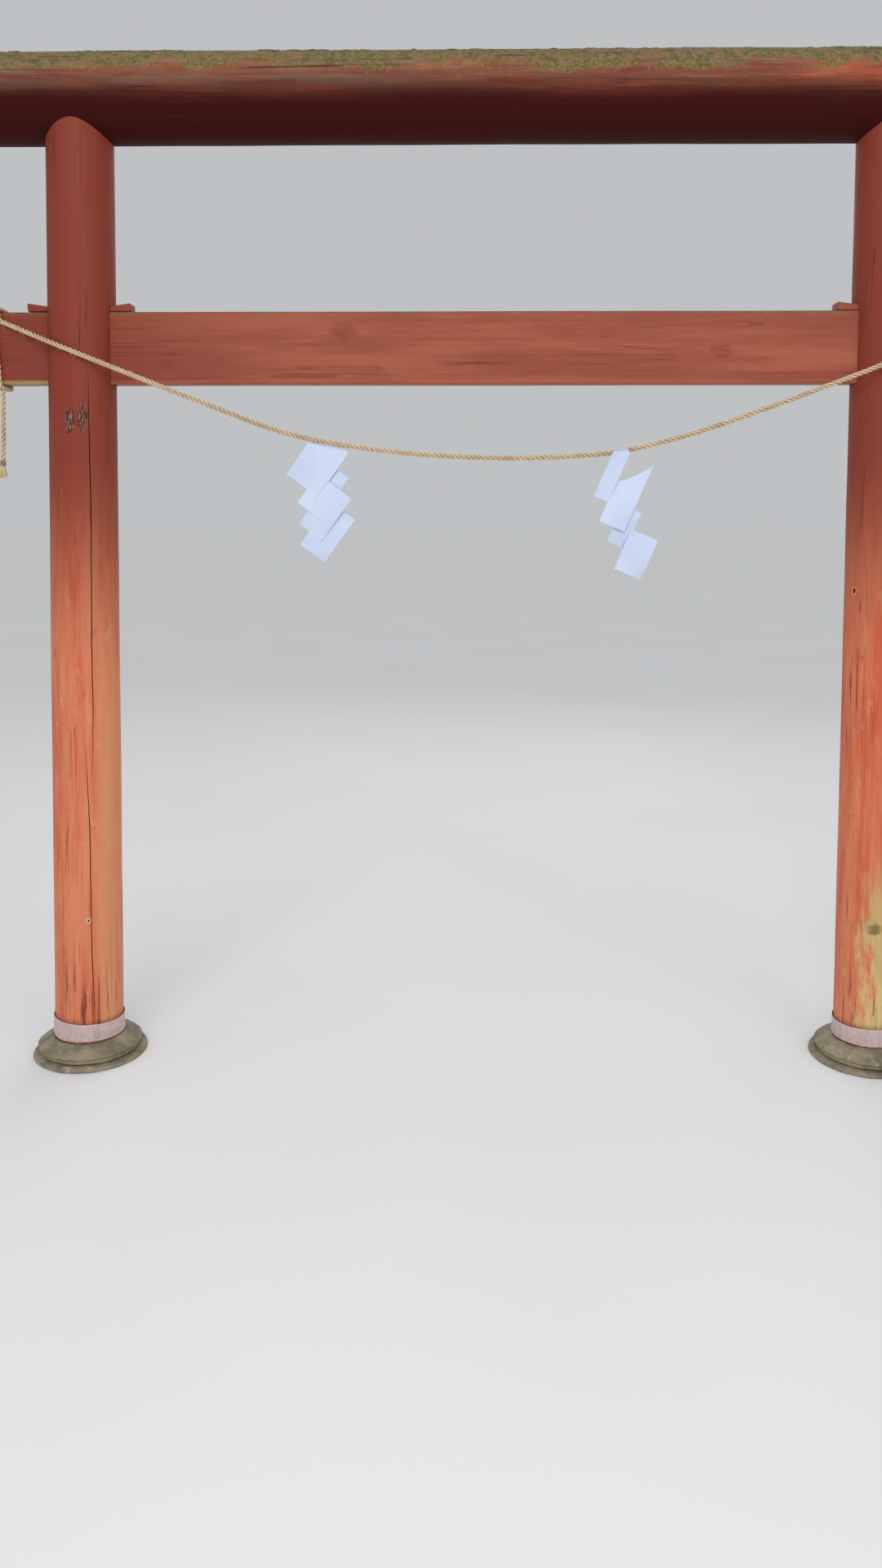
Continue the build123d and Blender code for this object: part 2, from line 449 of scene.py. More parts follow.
def fill_socket(tree, socket, value):
    """Join a socket to another node's output, or give it a value."""
    if isinstance(value, bpy.types.NodeSocket):
        tree.links.new(value, socket)
    elif socket.type == "RGBA":
        socket.default_value = (*value[:3], 1)
    else:
        socket.default_value = value


def join(tree, node, **inputs):
    """Fill a node's sockets, named with low lines for spaces."""
    for name, value in inputs.items():
        fill_socket(tree, node.inputs[name.replace("_", " ")], value)


def mix(tree, share, first, second):
    """Colour mixed from two colours."""
    inputs = {0: share, 6: first, 7: second}
    return put(tree, "ShaderNodeMix", inputs, data_type="RGBA").outputs[2]


def calc(tree, operation, *values):
    """Result of one sum on numbers."""
    return put(tree, "ShaderNodeMath", dict(enumerate(values)), operation=operation).outputs[0]


def times(tree, first, second):
    """Product of two numbers."""
    return calc(tree, "MULTIPLY", first, second)


def vector_calc(tree, operation, *vectors):
    """Result of one sum on vectors."""
    inputs = dict(enumerate(vectors))
    return put(tree, "ShaderNodeVectorMath", inputs, operation=operation).outputs[0]


def split_axes(tree, vector):
    """X, Y and Z of a vector."""
    return put(tree, "ShaderNodeSeparateXYZ", {0: vector}).outputs


def fade(tree, value, low, high, start=0.0, end=1.0):
    """Soft step from start to end while the value goes from low to high."""
    inputs = {"Value": value, "From Min": low, "From Max": high, "To Min": start, "To Max": end}
    return put(tree, "ShaderNodeMapRange", inputs, interpolation_type="SMOOTHSTEP").outputs[0]


def coat(tree, base, tint, value, low, high, start=0.0, end=1.0):
    """Base with a tint laid over it in a soft step of a value."""
    return mix(tree, fade(tree, value, low, high, start, end), base, tint)


def clouds(tree, vector, scale, detail, rough=0.5):
    """Soft noise from 0 to 1."""
    inputs = {"Vector": vector, "Scale": scale, "Detail": detail, "Roughness": rough}
    return put(tree, "ShaderNodeTexNoise", inputs).outputs["Fac"]


def scaled(tree, vector, across, along):
    """Vector scaled across and along the grain."""
    return vector_calc(tree, "MULTIPLY", vector, (across, across, along))


def drawn_out(tree, vector, across, along, detail, rough=0.5):
    """Soft noise that is finer across the grain than along it."""
    return clouds(tree, scaled(tree, vector, across, along), 1.0, detail, rough)


def moved(tree, vector, place):
    """Vector measured from a place."""
    return vector_calc(tree, "SUBTRACT", vector, place)


def plain_place(tree):
    """Place on the object."""
    return put(tree, "ShaderNodeTexCoord").outputs["Object"]


def object_place(tree, turn=(0, 0, 0), origin=(0, 0, 0)):
    """Place on the object, from an origin and turned so that Z follows the grain."""
    place = moved(tree, plain_place(tree), origin)
    return put(tree, "ShaderNodeMapping", {"Vector": place, "Rotation": turn}).outputs[0]


def bump(tree, height, distance, strength=1.0):
    """Surface normal from a height."""
    inputs = {"Height": height, "Distance": distance, "Strength": strength}
    return put(tree, "ShaderNodeBump", inputs).outputs[0]


def new_group(name, inputs, outputs):
    """Node group with named sockets, as its tree, inputs and outputs."""
    tree = bpy.data.node_groups.new(name, "ShaderNodeTree")
    for socket, (kind, default) in inputs.items():
        made = tree.interface.new_socket(socket, in_out="INPUT", socket_type=kind)
        if default is not None:
            made.default_value = default
    for socket in outputs:
        tree.interface.new_socket(socket, in_out="OUTPUT", socket_type="NodeSocketFloat")
    return tree, tree.nodes.new("NodeGroupInput").outputs, tree.nodes.new("NodeGroupOutput").inputs


def use_group(tree, name, **inputs):
    """Place a node group in a material and return its outputs."""
    node = put(tree, "ShaderNodeGroup", node_tree=bpy.data.node_groups[name])
    join(tree, node, **inputs)
    return node.outputs


def new_material(name):
    """Empty material, as its material, tree and shader."""
    material = bpy.data.materials.new(name)
    material.use_nodes = True
    tree = material.node_tree
    return material, tree, tree.nodes["Principled BSDF"]


# Shared effects.

VECTOR = ("NodeSocketVector", None)


def make_grain():
    """Wood grain along Z: bands, streaks, fibres, fine checks and their height."""
    names = ["Bands", "Streaks", "Fibres", "Checks", "Height"]
    inputs = {"Vector": VECTOR, "Seed": ("NodeSocketFloat", 0.0)}
    tree, given, wanted = new_group("wood_grain", inputs, names)
    shift = put(tree, "ShaderNodeCombineXYZ", {0: given["Seed"], 1: 0.0, 2: given["Seed"]})
    place = vector_calc(tree, "ADD", given["Vector"], shift.outputs[0])
    bands = drawn_out(tree, place, 16.0, 1.5, 5.0, 0.6)
    streaks = drawn_out(tree, place, 75.0, 5.0, 5.0, 0.65)
    fibres = drawn_out(tree, place, 420.0, 14.0, 3.0, 0.6)
    lines = drawn_out(tree, place, 40.0, 0.6, 2.0)
    near_line = calc(tree, "ABSOLUTE", calc(tree, "SUBTRACT", lines, 0.5))
    thin = fade(tree, near_line, 0.002, 0.011, 1.0, 0.0)
    here = fade(tree, drawn_out(tree, place, 14.0, 5.0, 3.0), 0.5, 0.6)
    checks = times(tree, thin, here)
    height = calc(tree, "MULTIPLY_ADD", fibres, 0.35, times(tree, streaks, 0.5))
    height = calc(tree, "SUBTRACT", height, checks)
    for name, value in zip(names, (bands, streaks, fibres, checks, height)):
        tree.links.new(value, wanted[name])


def make_spot():
    """Ragged spot of a given centre and size, such as a knot or a bare patch."""
    inputs = {
        "Vector": VECTOR,
        "Centre": VECTOR,
        "Size": VECTOR,
        "Ragged": ("NodeSocketFloat", 0.3),
    }
    tree, given, wanted = new_group("spot", inputs, ["Mask", "Distance"])
    away = moved(tree, given["Vector"], given["Centre"])
    share = vector_calc(tree, "DIVIDE", away, given["Size"])
    reach = put(tree, "ShaderNodeVectorMath", {0: share}, operation="LENGTH").outputs["Value"]
    wave = calc(tree, "SUBTRACT", clouds(tree, given["Vector"], 90.0, 4.0), 0.5)
    reach = calc(tree, "MULTIPLY_ADD", wave, times(tree, given["Ragged"], 4.0), reach)
    tree.links.new(fade(tree, reach, 0.75, 1.1, 1.0, 0.0), wanted["Mask"])
    tree.links.new(reach, wanted["Distance"])


def make_growth():
    """Film of algae or moss that gathers in patches: its mask and its height."""
    inputs = {
        "Vector": VECTOR,
        "Cover": ("NodeSocketFloat", 0.5),
        "Scale": ("NodeSocketFloat", 12.0),
    }
    tree, given, wanted = new_group("growth", inputs, ["Mask", "Height"])
    patches = clouds(tree, given["Vector"], given["Scale"], 6.0, 0.65)
    fine = clouds(tree, given["Vector"], times(tree, given["Scale"], 14.0), 4.0, 0.7)
    amount = calc(tree, "MULTIPLY_ADD", fine, 0.35, patches)
    edge = calc(tree, "SUBTRACT", 1.2, given["Cover"])
    start = calc(tree, "SUBTRACT", edge, 0.12)
    stop = calc(tree, "ADD", edge, 0.12)
    tree.links.new(fade(tree, amount, start, stop), wanted["Mask"])
    tree.links.new(fine, wanted["Height"])


# Finishes. Heights and places are in metres, and noise runs from 0 to 1.

Knot = namedtuple("Knot", "angle height size pale")

# Knots on each post: angle from the front towards +X, height, size and how
# pale the wood round it is.
POST_KNOTS = {
    "left": [
        Knot(0.29, 0.444, 0.0035, 0.85),
        Knot(-1.4, 0.93, 0.006, 0.2),
        Knot(1.9, 1.3, 0.009, 0.25),
        Knot(3.3, 0.7, 0.007, 0.3),
        Knot(-2.1, 1.62, 0.009, 0.15),
    ],
    "right": [
        Knot(-1.1, 1.38, 0.005, 0.2),
        Knot(2.6, 1.1, 0.009, 0.25),
        Knot(0.6, 0.8, 0.006, 0.3),
        Knot(1.6, 1.7, 0.007, 0.15),
        Knot(-2.4, 0.55, 0.008, 0.25),
    ],
}
# How much a post's radius loses with each metre of height.
POST_TAPER = 0.0061
# Places where the paint has flaked off the grey wood, and the size of each.
POST_PATCHES = {
    "left": [(-0.008, -0.089, 1.813), (0.023, -0.086, 1.822)],
    "right": [(0.05, 0.08, 1.25)],
}
PATCH_SIZE = (0.013, 0.03, 0.034)
# Places of the olive smudges, and the size of each.
POST_SMUDGES = {
    "left": [(-0.06, 0.07, 0.9)],
    "right": [(-0.02, -0.096, 0.428), (0.07, 0.06, 0.6)],
}
SMUDGE_SIZE = (0.022, 0.05, 0.02)
# Knots on the tie beam's faces: distance along it, height and size.
BEAM_KNOTS = [(-0.62, 1.985, 0.014), (0.36, 2.035, 0.017), (0.83, 1.955, 0.012)]
# Turn that lays the grain along X, and the gloss of dull paint.
GRAIN_ALONG_X = (0, math.radians(-90), 0)
PAINT_GLOSS = 0.25


def post_finish(name):
    """Weathered vermilion paint on one post, with its knots and damp patches, and painted shade
    towards its head.
    """
    shades = colours()
    side = SIDES[name]
    material, tree, shader = new_material(f"post_paint_{name}")
    foot_x = side * sizes().post_spacing / 2
    place = object_place(tree, (0, side * sizes().post_lean, 0), (foot_x, 0, 0))
    parts = split_axes(tree, place)
    grain = use_group(tree, "wood_grain", Vector=place, Seed=3.1 + side)
    base = faded_coat(tree, place, grain)
    base = mix(tree, tan_flank(tree, parts, side), base, shades.tan_paint)
    # Painted shade: the post darkens towards its head, as under the beam.
    base = coat(tree, base, shades.deep_paint_and_shade, parts[2], 1.1, 1.75, 0.0, 0.95)
    base = add_algae(tree, base, place, parts, grain, side)
    base = soak_foot(tree, base, parts[2], grain)
    base, relief = add_post_knots(tree, base, grain["Height"], place, POST_KNOTS[name])
    base = add_flaked_patches(tree, base, place, POST_PATCHES[name])
    base = add_smudges(tree, base, place, POST_SMUDGES[name])
    splashed = times(tree, fade(tree, parts[2], 0.145, 0.12), 0.45)
    join(
        tree,
        shader,
        Base_Color=mix(tree, splashed, base, shades.dark_check),
        Roughness=fade(tree, grain["Streaks"], 0.3, 0.7, 0.5, 0.72),
        Specular_IOR_Level=PAINT_GLOSS,
        Normal=bump(tree, relief, 0.0012, 0.8),
    )
    return material


def faded_coat(tree, place, grain):
    """Vermilion that fades in bands and streaks, down to the wood in places."""
    shades = colours()
    streaks = grain["Streaks"]
    worn = fade(tree, grain["Bands"], 0.36, 0.64, 0.1, 0.85)
    base = mix(tree, worn, shades.sound_paint, shades.faded_paint)
    base = coat(tree, base, shades.faded_paint, streaks, 0.5, 0.7, 0.0, 0.6)
    base = coat(tree, base, shades.sound_paint, streaks, 0.46, 0.3, 0.0, 0.7)
    blotch = drawn_out(tree, place, 34.0, 15.0, 5.0, 0.65)
    base = coat(tree, base, shades.pale_wood, blotch, 0.58, 0.72, 0.0, 0.3)
    base = coat(tree, base, shades.deep_paint_and_shade, blotch, 0.4, 0.28, 0.0, 0.45)
    return coat(tree, base, shades.bare_wood, grain["Fibres"], 0.52, 0.75, 0.0, 0.3)


def tan_flank(tree, parts, side):
    """Share of bleached paint on the flank that the weather reaches."""
    inner, outer = (-0.02, 0.05) if side > 0 else (0.035, 0.065)
    return times(
        tree, fade(tree, parts[0], inner, outer), fade(tree, parts[2], 1.5, 1.0, 0.1, 0.65)
    )


def add_algae(tree, base, place, parts, grain, side):
    """Film of algae low on a post and on the side that stays damp."""
    shades = colours()
    damp = fade(tree, parts[2], 0.75, 0.1, 0.0, 0.3)
    film = use_group(tree, "growth", Vector=scaled(tree, place, 1.0, 0.25), Cover=damp, Scale=14.0)
    green = calc(tree, "MAXIMUM", film["Mask"], damp_side(tree, place, parts, side))
    tone = mix(tree, fade(tree, grain["Bands"], 0.3, 0.55), shades.algae, shades.algae_light)
    return mix(tree, times(tree, green, 0.8), base, tone)


def damp_side(tree, place, parts, side):
    """Share of algae on the side that stays damp, strongest low on the right post."""
    behind = fade(tree, parts[1], 0.02, 0.08, 0.0, 0.35)
    if side < 0:
        return behind
    patches = drawn_out(tree, place, 26.0, 9.0, 5.0, 0.6)
    edge = calc(tree, "MULTIPLY_ADD", patches, 0.16, parts[0])
    low = fade(tree, parts[2], 0.72, 0.42)
    flank = fade(tree, edge, 0.02, 0.06)
    front = fade(tree, parts[1], 0.0, -0.03)
    return calc(tree, "MAXIMUM", behind, times(tree, times(tree, low, flank), front))


def soak_foot(tree, base, height, grain):
    """Dirt in a post's fine checks and dark streaks where its foot draws water."""
    shades = colours()
    low = fade(tree, height, 0.6, 0.12, 0.6, 1.0)
    base = mix(tree, times(tree, grain["Checks"], low), base, shades.dark_check)
    soaked = times(tree, fade(tree, height, 0.36, 0.16), 0.75)
    soaked = times(tree, fade(tree, grain["Streaks"], 0.46, 0.36), soaked)
    return mix(tree, soaked, base, shades.dark_check)


def add_post_knots(tree, base, relief, place, knots):
    """Dark sunken knots, each in a rim of pale wood."""
    shades = colours()
    for knot in knots:
        radius = sizes().foot_radius - knot.height * POST_TAPER
        centre = (radius * math.sin(knot.angle), -radius * math.cos(knot.angle), knot.height)
        size = knot.size
        rim_size = (size * 2, size * 2, size * 2.6)
        core_size = (size, size, size * 1.5)
        rim = use_group(tree, "spot", Vector=place, Centre=centre, Size=rim_size)
        core = use_group(tree, "spot", Vector=place, Centre=centre, Size=core_size)
        base = mix(tree, times(tree, rim["Mask"], knot.pale), base, shades.pale_wood)
        base = mix(tree, core["Mask"], base, shades.dark_check)
        relief = calc(tree, "SUBTRACT", relief, times(tree, core["Mask"], 2.0))
    return base, relief


def add_flaked_patches(tree, base, place, centres):
    """Dark patches with pale flakes of old paint."""
    shades = colours()
    flakes = fade(tree, drawn_out(tree, place, 380.0, 70.0, 3.0), 0.53, 0.62)
    for centre in centres:
        patch = use_group(
            tree, "spot", Vector=place, Centre=centre, Size=PATCH_SIZE, Ragged=0.5
        )["Mask"]
        base = mix(tree, times(tree, patch, 0.7), base, shades.dark_check)
        pale = times(tree, times(tree, patch, flakes), 0.55)
        base = mix(tree, pale, base, shades.zinc_dark)
    return base


def add_smudges(tree, base, place, centres):
    """Olive smudges that fade towards their edges."""
    for centre in centres:
        smudge = use_group(
            tree, "spot", Vector=place, Centre=centre, Size=SMUDGE_SIZE, Ragged=0.35
        )
        soft = fade(tree, smudge["Distance"], 1.25, 0.3, 0.0, 0.75)
        base = mix(tree, times(tree, soft, smudge["Mask"]), base, colours().moss_dark)
    return base


def cut_finish():
    """Dark dry wood inside cracks and mortises."""
    shades = colours()
    material, tree, shader = new_material("cut_wood")
    speck = drawn_out(tree, object_place(tree), 160.0, 12.0, 3.0)
    base = mix(tree, fade(tree, speck, 0.35, 0.7), shades.dark_check, shades.bare_wood)
    base = mix(tree, 0.45, base, shades.dark_check)
    join(tree, shader, Base_Color=base, Roughness=0.85, Normal=bump(tree, speck, 0.001))
    return material


def beam_finish(name, seed, mossy):
    """Brown red paint on sawn timber, its grain along X."""
    shades = colours()
    material, tree, shader = new_material(name)
    world = plain_place(tree)
    parts = split_axes(tree, world)
    grain = use_group(
        tree, "wood_grain", Vector=object_place(tree, GRAIN_ALONG_X), Seed=seed
    )
    base = beam_coat(tree, grain, parts[0])
    base = beam_edge(tree, base, grain, parts)
    base, cover, film = beam_moss(tree, base, world, parts[2], mossy)
    base = mix(tree, times(tree, grain["Checks"], 0.4), base, shades.dark_check)
    base, relief = add_beam_knots(tree, base, grain, world)
    rough = fade(tree, grain["Bands"], 0.3, 0.7, 0.45, 0.62)
    join(
        tree,
        shader,
        Base_Color=base,
        Roughness=calc(tree, "MAXIMUM", rough, times(tree, cover, 0.95)),
        Specular_IOR_Level=PAINT_GLOSS,
        Normal=bump(tree, calc(tree, "MULTIPLY_ADD", cover, film["Height"], relief), 0.0007, 0.7),
    )
    return material


def beam_coat(tree, grain, along):
    """Paint rubbed thin in bands and streaks, with painted shadow darkening it towards the left
    end.
    """
    shades = colours()
    streaks = grain["Streaks"]
    base = mix(tree, fade(tree, grain["Bands"], 0.4, 0.7), shades.beam_paint, shades.beam_worn)
    base = coat(tree, base, shades.faded_paint, streaks, 0.55, 0.8, 0.0, 0.2)
    base = coat(tree, base, shades.deep_paint_and_shade, streaks, 0.45, 0.25, 0.0, 0.35)
    # Painted shadow: darker towards the beam's left end.
    return coat(tree, base, shades.deep_paint_and_shade, along, -0.4, -1.2, 0.0, 0.9)


def beam_edge(tree, base, grain, parts):
    """Worn lower edge, with algae on its left end."""
    shades = colours()
    bottom = BEAM_BOX[0].z
    edge = fade(tree, parts[2], bottom + 0.014, bottom + 0.003)
    edge = times(tree, edge, fade(tree, grain["Streaks"], 0.4, 0.6, 0.35, 0.9))
    base = mix(tree, edge, base, shades.beam_worn)
    return mix(tree, times(tree, edge, fade(tree, parts[0], -0.96, -1.0)), base, shades.algae)


def beam_moss(tree, base, world, height, mossy):
    """Moss along the beam's top, with how far it covers and its film."""
    shades = colours()
    top = fade(tree, height, BEAM_BOX[1].z - 0.012, BEAM_BOX[1].z)
    film = use_group(tree, "growth", Vector=world, Cover=0.5, Scale=16.0)
    cover = times(tree, top, film["Mask"]) if mossy else 0.0
    green = mix(tree, fade(tree, film["Height"], 0.42, 0.7), shades.moss_dark, shades.moss_light)
    return mix(tree, cover, base, green), cover, film


def add_beam_knots(tree, base, grain, world):
    """Soft dark knots on both faces of the beam."""
    relief = grain["Height"]
    for along, height, size in BEAM_KNOTS:
        knot_size = (size * 2.2, size, size * 1.3)
        for face in (-1, 1):
            centre = (along * face, face * BEAM_BOX[1].y, height)
            ring = use_group(tree, "spot", Vector=world, Centre=centre, Size=knot_size)
            knot = times(tree, ring["Mask"], fade(tree, grain["Fibres"], 0.7, 0.4))
            base = mix(tree, times(tree, knot, 0.6), base, colours().deep_paint_and_shade)
            relief = calc(tree, "MULTIPLY_ADD", knot, -0.3, relief)
    return base, relief


def lintel_finish():
    """Lintel paint: mossy above, streaked on the face, with dark red painted shade down the lower
    face and below.
    """
    shades = colours()
    material, tree, shader = new_material("lintel_paint")
    axis = (0, 0, LINTEL_AXIS)
    world = plain_place(tree)
    height = split_axes(tree, moved(tree, world, axis))[2]
    place = object_place(tree, GRAIN_ALONG_X, axis)
    grain = use_group(tree, "wood_grain", Vector=place, Seed=8.4)
    level = calc(tree, "MULTIPLY_ADD", grain["Bands"], 0.06, calc(tree, "ADD", height, -0.03))
    base = lintel_coat(tree, place, grain)
    # Painted shade: dark red that deepens down the face to the underside.
    base = coat(tree, base, shades.underside_shade_and_rings, level, 0.055, -0.035)
    base, film = lintel_moss(tree, base, world, level)
    speck = fade(tree, clouds(tree, world, 260.0, 2.0), 0.68, 0.74)
    speck = times(tree, speck, fade(tree, height, 0.0, 0.05))
    base = mix(tree, speck, base, shades.faded_paint)
    base = mix(tree, times(tree, grain["Checks"], 0.8), base, shades.dark_check)
    relief = calc(tree, "MULTIPLY_ADD", film["Mask"], film["Height"], grain["Height"])
    join(
        tree,
        shader,
        Base_Color=base,
        Roughness=fade(tree, film["Mask"], 0.0, 1.0, 0.62, 0.92),
        Specular_IOR_Level=fade(tree, height, -0.02, 0.03, 0.08, PAINT_GLOSS),
        Normal=bump(tree, relief, 0.0016, 0.8),
    )
    return material


def lintel_coat(tree, place, grain):
    """Brown red with orange patches, pale streaks and bare wood."""
    shades = colours()
    streaks = grain["Streaks"]
    orange = fade(tree, drawn_out(tree, place, 11.0, 2.2, 5.0, 0.6), 0.47, 0.68)
    base = mix(tree, times(tree, orange, 0.5), shades.lintel_paint, shades.sound_paint)
    base = coat(tree, base, shades.faded_paint, streaks, 0.52, 0.75, 0.0, 0.5)
    base = coat(tree, base, shades.bare_wood, grain["Bands"], 0.52, 0.4, 0.0, 0.7)
    return coat(tree, base, shades.deep_paint_and_shade, streaks, 0.5, 0.34, 0.0, 0.8)


def lintel_moss(tree, base, world, level):
    """Film of moss that thickens towards the top, with its mask and height."""
    shades = colours()
    cover = fade(tree, level, 0.0, 0.075, 0.15, 0.7)
    film = use_group(tree, "growth", Vector=world, Cover=cover, Scale=9.0)
    green = mix(tree, fade(tree, film["Height"], 0.42, 0.7), shades.moss_dark, shades.moss_light)
    lumps = clouds(tree, world, 38.0, 5.0, 0.7)
    green = coat(tree, green, shades.bare_wood, lumps, 0.56, 0.4, 0.0, 0.75)
    return mix(tree, times(tree, film["Mask"], 0.9), base, green), film


def end_grain_finish(name, origin):
    """Painted end grain with growth rings, round an axis along X."""
    shades = colours()
    material, tree, shader = new_material(name)
    place = object_place(tree, GRAIN_ALONG_X, origin)
    wave = put(
        tree,
        "ShaderNodeTexWave",
        {"Vector": place, "Scale": 30.0, "Distortion": 2.5, "Detail": 2.0},
        wave_type="RINGS",
        rings_direction="Z",
    )
    rings = wave.outputs["Fac"]
    spots = clouds(tree, place, 16.0, 6.0, 0.65)
    base = mix(tree, fade(tree, spots, 0.42, 0.66, 0.1, 0.6), shades.beam_paint, shades.bare_wood)
    base = coat(tree, base, shades.underside_shade_and_rings, rings, 0.5, 0.95, 0.0, 0.5)
    grime = fade(tree, clouds(tree, place, 60.0, 5.0, 0.7), 0.5, 0.7, 0.0, 0.4)
    base = mix(tree, grime, base, shades.dark_check)
    join(tree, shader, Base_Color=base, Roughness=0.8, Normal=bump(tree, rings, 0.0008, 0.7))
    return material


def concrete_finish(name, green):
    """Weathered concrete with stains, grit and algae."""
    shades = colours()
    material, tree, shader = new_material(name)
    place = object_place(tree)
    stains = clouds(tree, place, 16.0, 6.0, 0.65)
    sand = clouds(tree, place, 700.0, 3.0, 0.7)
    pits = fade(tree, clouds(tree, place, 150.0, 2.0), 0.33, 0.27)
    base = mix(tree, fade(tree, stains, 0.35, 0.65), shades.concrete_dark, shades.concrete)
    grit = put(tree, "ShaderNodeTexVoronoi", {"Vector": place, "Scale": 260.0}).outputs["Distance"]
    base = coat(tree, base, shades.zinc, grit, 0.12, 0.04, 0.0, 0.25)
    base = coat(tree, base, shades.concrete_dark, sand, 0.5, 0.3, 0.0, 0.35)
    lime = clouds(tree, moved(tree, place, (0.13, 0, 0)), 24.0, 5.0, 0.6)
    base = coat(tree, base, shades.zinc, lime, 0.6, 0.72, 0.0, 0.6)
    height = split_axes(tree, place)[2]
    lower = fade(tree, height, PLINTH_BOX[1].z, PAD_BOX[1].z, 0.1, green)
    film = use_group(tree, "growth", Vector=place, Cover=lower, Scale=22.0)
    base = mix(tree, times(tree, film["Mask"], 0.6), base, shades.algae)
    base = mix(tree, pits, base, shades.concrete_dark)
    relief = calc(tree, "MULTIPLY_ADD", sand, 0.4, times(tree, stains, 0.6))
    relief = calc(tree, "SUBTRACT", relief, pits)
    join(tree, shader, Base_Color=base, Roughness=0.9, Normal=bump(tree, relief, 0.0016))
    return material


def zinc_finish():
    """Dull galvanised sheet with crystals, runs and dirt at its lower edge."""
    shades = colours()
    material, tree, shader = new_material("zinc_sheet")
    place = object_place(tree)
    crystals = put(tree, "ShaderNodeTexVoronoi", {"Vector": place, "Scale": 75.0}).outputs["Color"]
    tone = put(tree, "ShaderNodeSeparateColor", {0: crystals}).outputs[0]
    runs = drawn_out(tree, place, 60.0, 9.0, 4.0, 0.6)
    dirt = clouds(tree, place, 40.0, 5.0, 0.65)
    base = mix(tree, times(tree, tone, 0.22), shades.zinc, shades.zinc_dark)
    base = coat(tree, base, shades.zinc_dark, runs, 0.5, 0.75, 0.0, 0.55)
    low = COLLAR_BOX[0].z
    seam = fade(tree, split_axes(tree, place)[2], low + 0.006, low + 0.001)
    seam = times(tree, seam, fade(tree, dirt, 0.3, 0.5))
    base = mix(tree, seam, base, shades.deep_paint_and_shade)
    base = coat(tree, base, shades.concrete, dirt, 0.62, 0.74, 0.0, 0.45)
    join(
        tree,
        shader,
        Base_Color=base,
        Metallic=fade(tree, dirt, 0.4, 0.7, 0.45, 0.1),
        Roughness=fade(tree, tone, 0.0, 1.0, 0.42, 0.55),
        Normal=bump(tree, calc(tree, "MULTIPLY_ADD", dirt, 0.5, runs), 0.0007, 0.5),
    )
    return material


def straw_finish():
    """Dry straw laid along each strand, from the strand's own UV map, with painted shade on the
    strands' inner sides.
    """
    shades = colours()
    material, tree, shader = new_material("straw")
    laid = put(tree, "ShaderNodeUVMap", uv_map="along").outputs[0]
    straws = clouds(tree, vector_calc(tree, "MULTIPLY", laid, (15.0, 22.0, 1.0)), 1.0, 3.0, 0.6)
    hair = clouds(tree, vector_calc(tree, "MULTIPLY", laid, (60.0, 70.0, 1.0)), 1.0, 3.0, 0.6)
    # Painted shade between the strands: darker away from each strand's outer side.
    inner = calc(tree, "ABSOLUTE", calc(tree, "SUBTRACT", split_axes(tree, laid)[0], 0.5))
    tone = clouds(tree, object_place(tree), 9.0, 4.0, 0.6)
    base = mix(tree, fade(tree, straws, 0.54, 0.34, 0.0, 0.7), shades.straw, shades.old_straw_and_shade)
    base = coat(tree, base, shades.old_straw_and_shade, inner, 0.2, 0.36, 0.0, 0.8)
    base = coat(tree, base, shades.old_straw_and_shade, tone, 0.45, 0.7, 0.0, 0.25)
    base = coat(tree, base, shades.paper, hair, 0.6, 0.75, 0.0, 0.5)
    relief = calc(tree, "MULTIPLY_ADD", hair, 0.4, straws)
    join(tree, shader, Base_Color=base, Roughness=0.8, Normal=bump(tree, relief, 0.0012))
    return material


def paper_finish():
    """White paper with the sky's blue shade painted in, faint fibres, and soft patches of deeper
    painted shade.
    """
    shades = colours()
    material, tree, shader = new_material("folded_paper")
    place = object_place(tree)
    soft_patches = clouds(tree, place, 9.0, 3.0)
    fibres = clouds(tree, place, 480.0, 4.0, 0.7)
    # Painted shade: the blue white base, darker in soft patches.
    base = mix(tree, fade(tree, soft_patches, 0.35, 0.75, 0.0, 0.5), shades.paper, shades.paper_shade)
    base = coat(tree, base, shades.paper_shade, fibres, 0.55, 0.75, 0.0, 0.18)
    relief = calc(tree, "MULTIPLY_ADD", fibres, 0.12, soft_patches)
    join(tree, shader, Base_Color=base, Roughness=0.62, Normal=bump(tree, relief, 0.0015, 0.35))
    return material


def moss_finish():
    """Olive moss with yellow green tips."""
    shades = colours()
    material, tree, shader = new_material("moss")
    place = object_place(tree)
    lumps = clouds(tree, place, 45.0, 5.0, 0.65)
    leaves = clouds(tree, place, 600.0, 3.0, 0.7)
    base = mix(tree, fade(tree, lumps, 0.38, 0.66), shades.moss_dark, shades.moss_light)
    base = coat(tree, base, shades.dark_check, leaves, 0.5, 0.3, 0.0, 0.6)
    relief = calc(tree, "MULTIPLY_ADD", leaves, 0.7, lumps)
    join(tree, shader, Base_Color=base, Roughness=0.95, Normal=bump(tree, relief, 0.002))
    return material


# Rope, its hitches and its loose ends.

# The rope's route from the left hitch to the right one, in metres.
ROPE_ROUTE = [
    (-1.249, -0.038, 2.061),
    (-1.186, -0.0395, 2.0355),
    (-1.081, -0.106, 1.993),
    (-0.9, -0.099, 1.9225),
    (-0.718, -0.098, 1.853),
    (-0.535, -0.0985, 1.784),
    (-0.435, -0.0985, 1.7605),
    (-0.255, -0.0985, 1.733),
    (-0.08, -0.0985, 1.719),
    (0.1, -0.0985, 1.7145),
    (0.27, -0.0985, 1.7215),
    (0.385, -0.0985, 1.7345),
    (0.56, -0.0985, 1.78),
    (0.74, -0.098, 1.8425),
    (0.91, -0.099, 1.9045),
    (1.081, -0.106, 1.9695),
    (1.186, -0.0395, 2.0105),
    (1.249, -0.038, 2.0355),
]
# The loose end below each hitch, from the hitch downwards.
TAIL_ROUTE = [(0, 0, 0), (0.004, -0.002, -0.095), (0.014, -0.004, -0.19)]
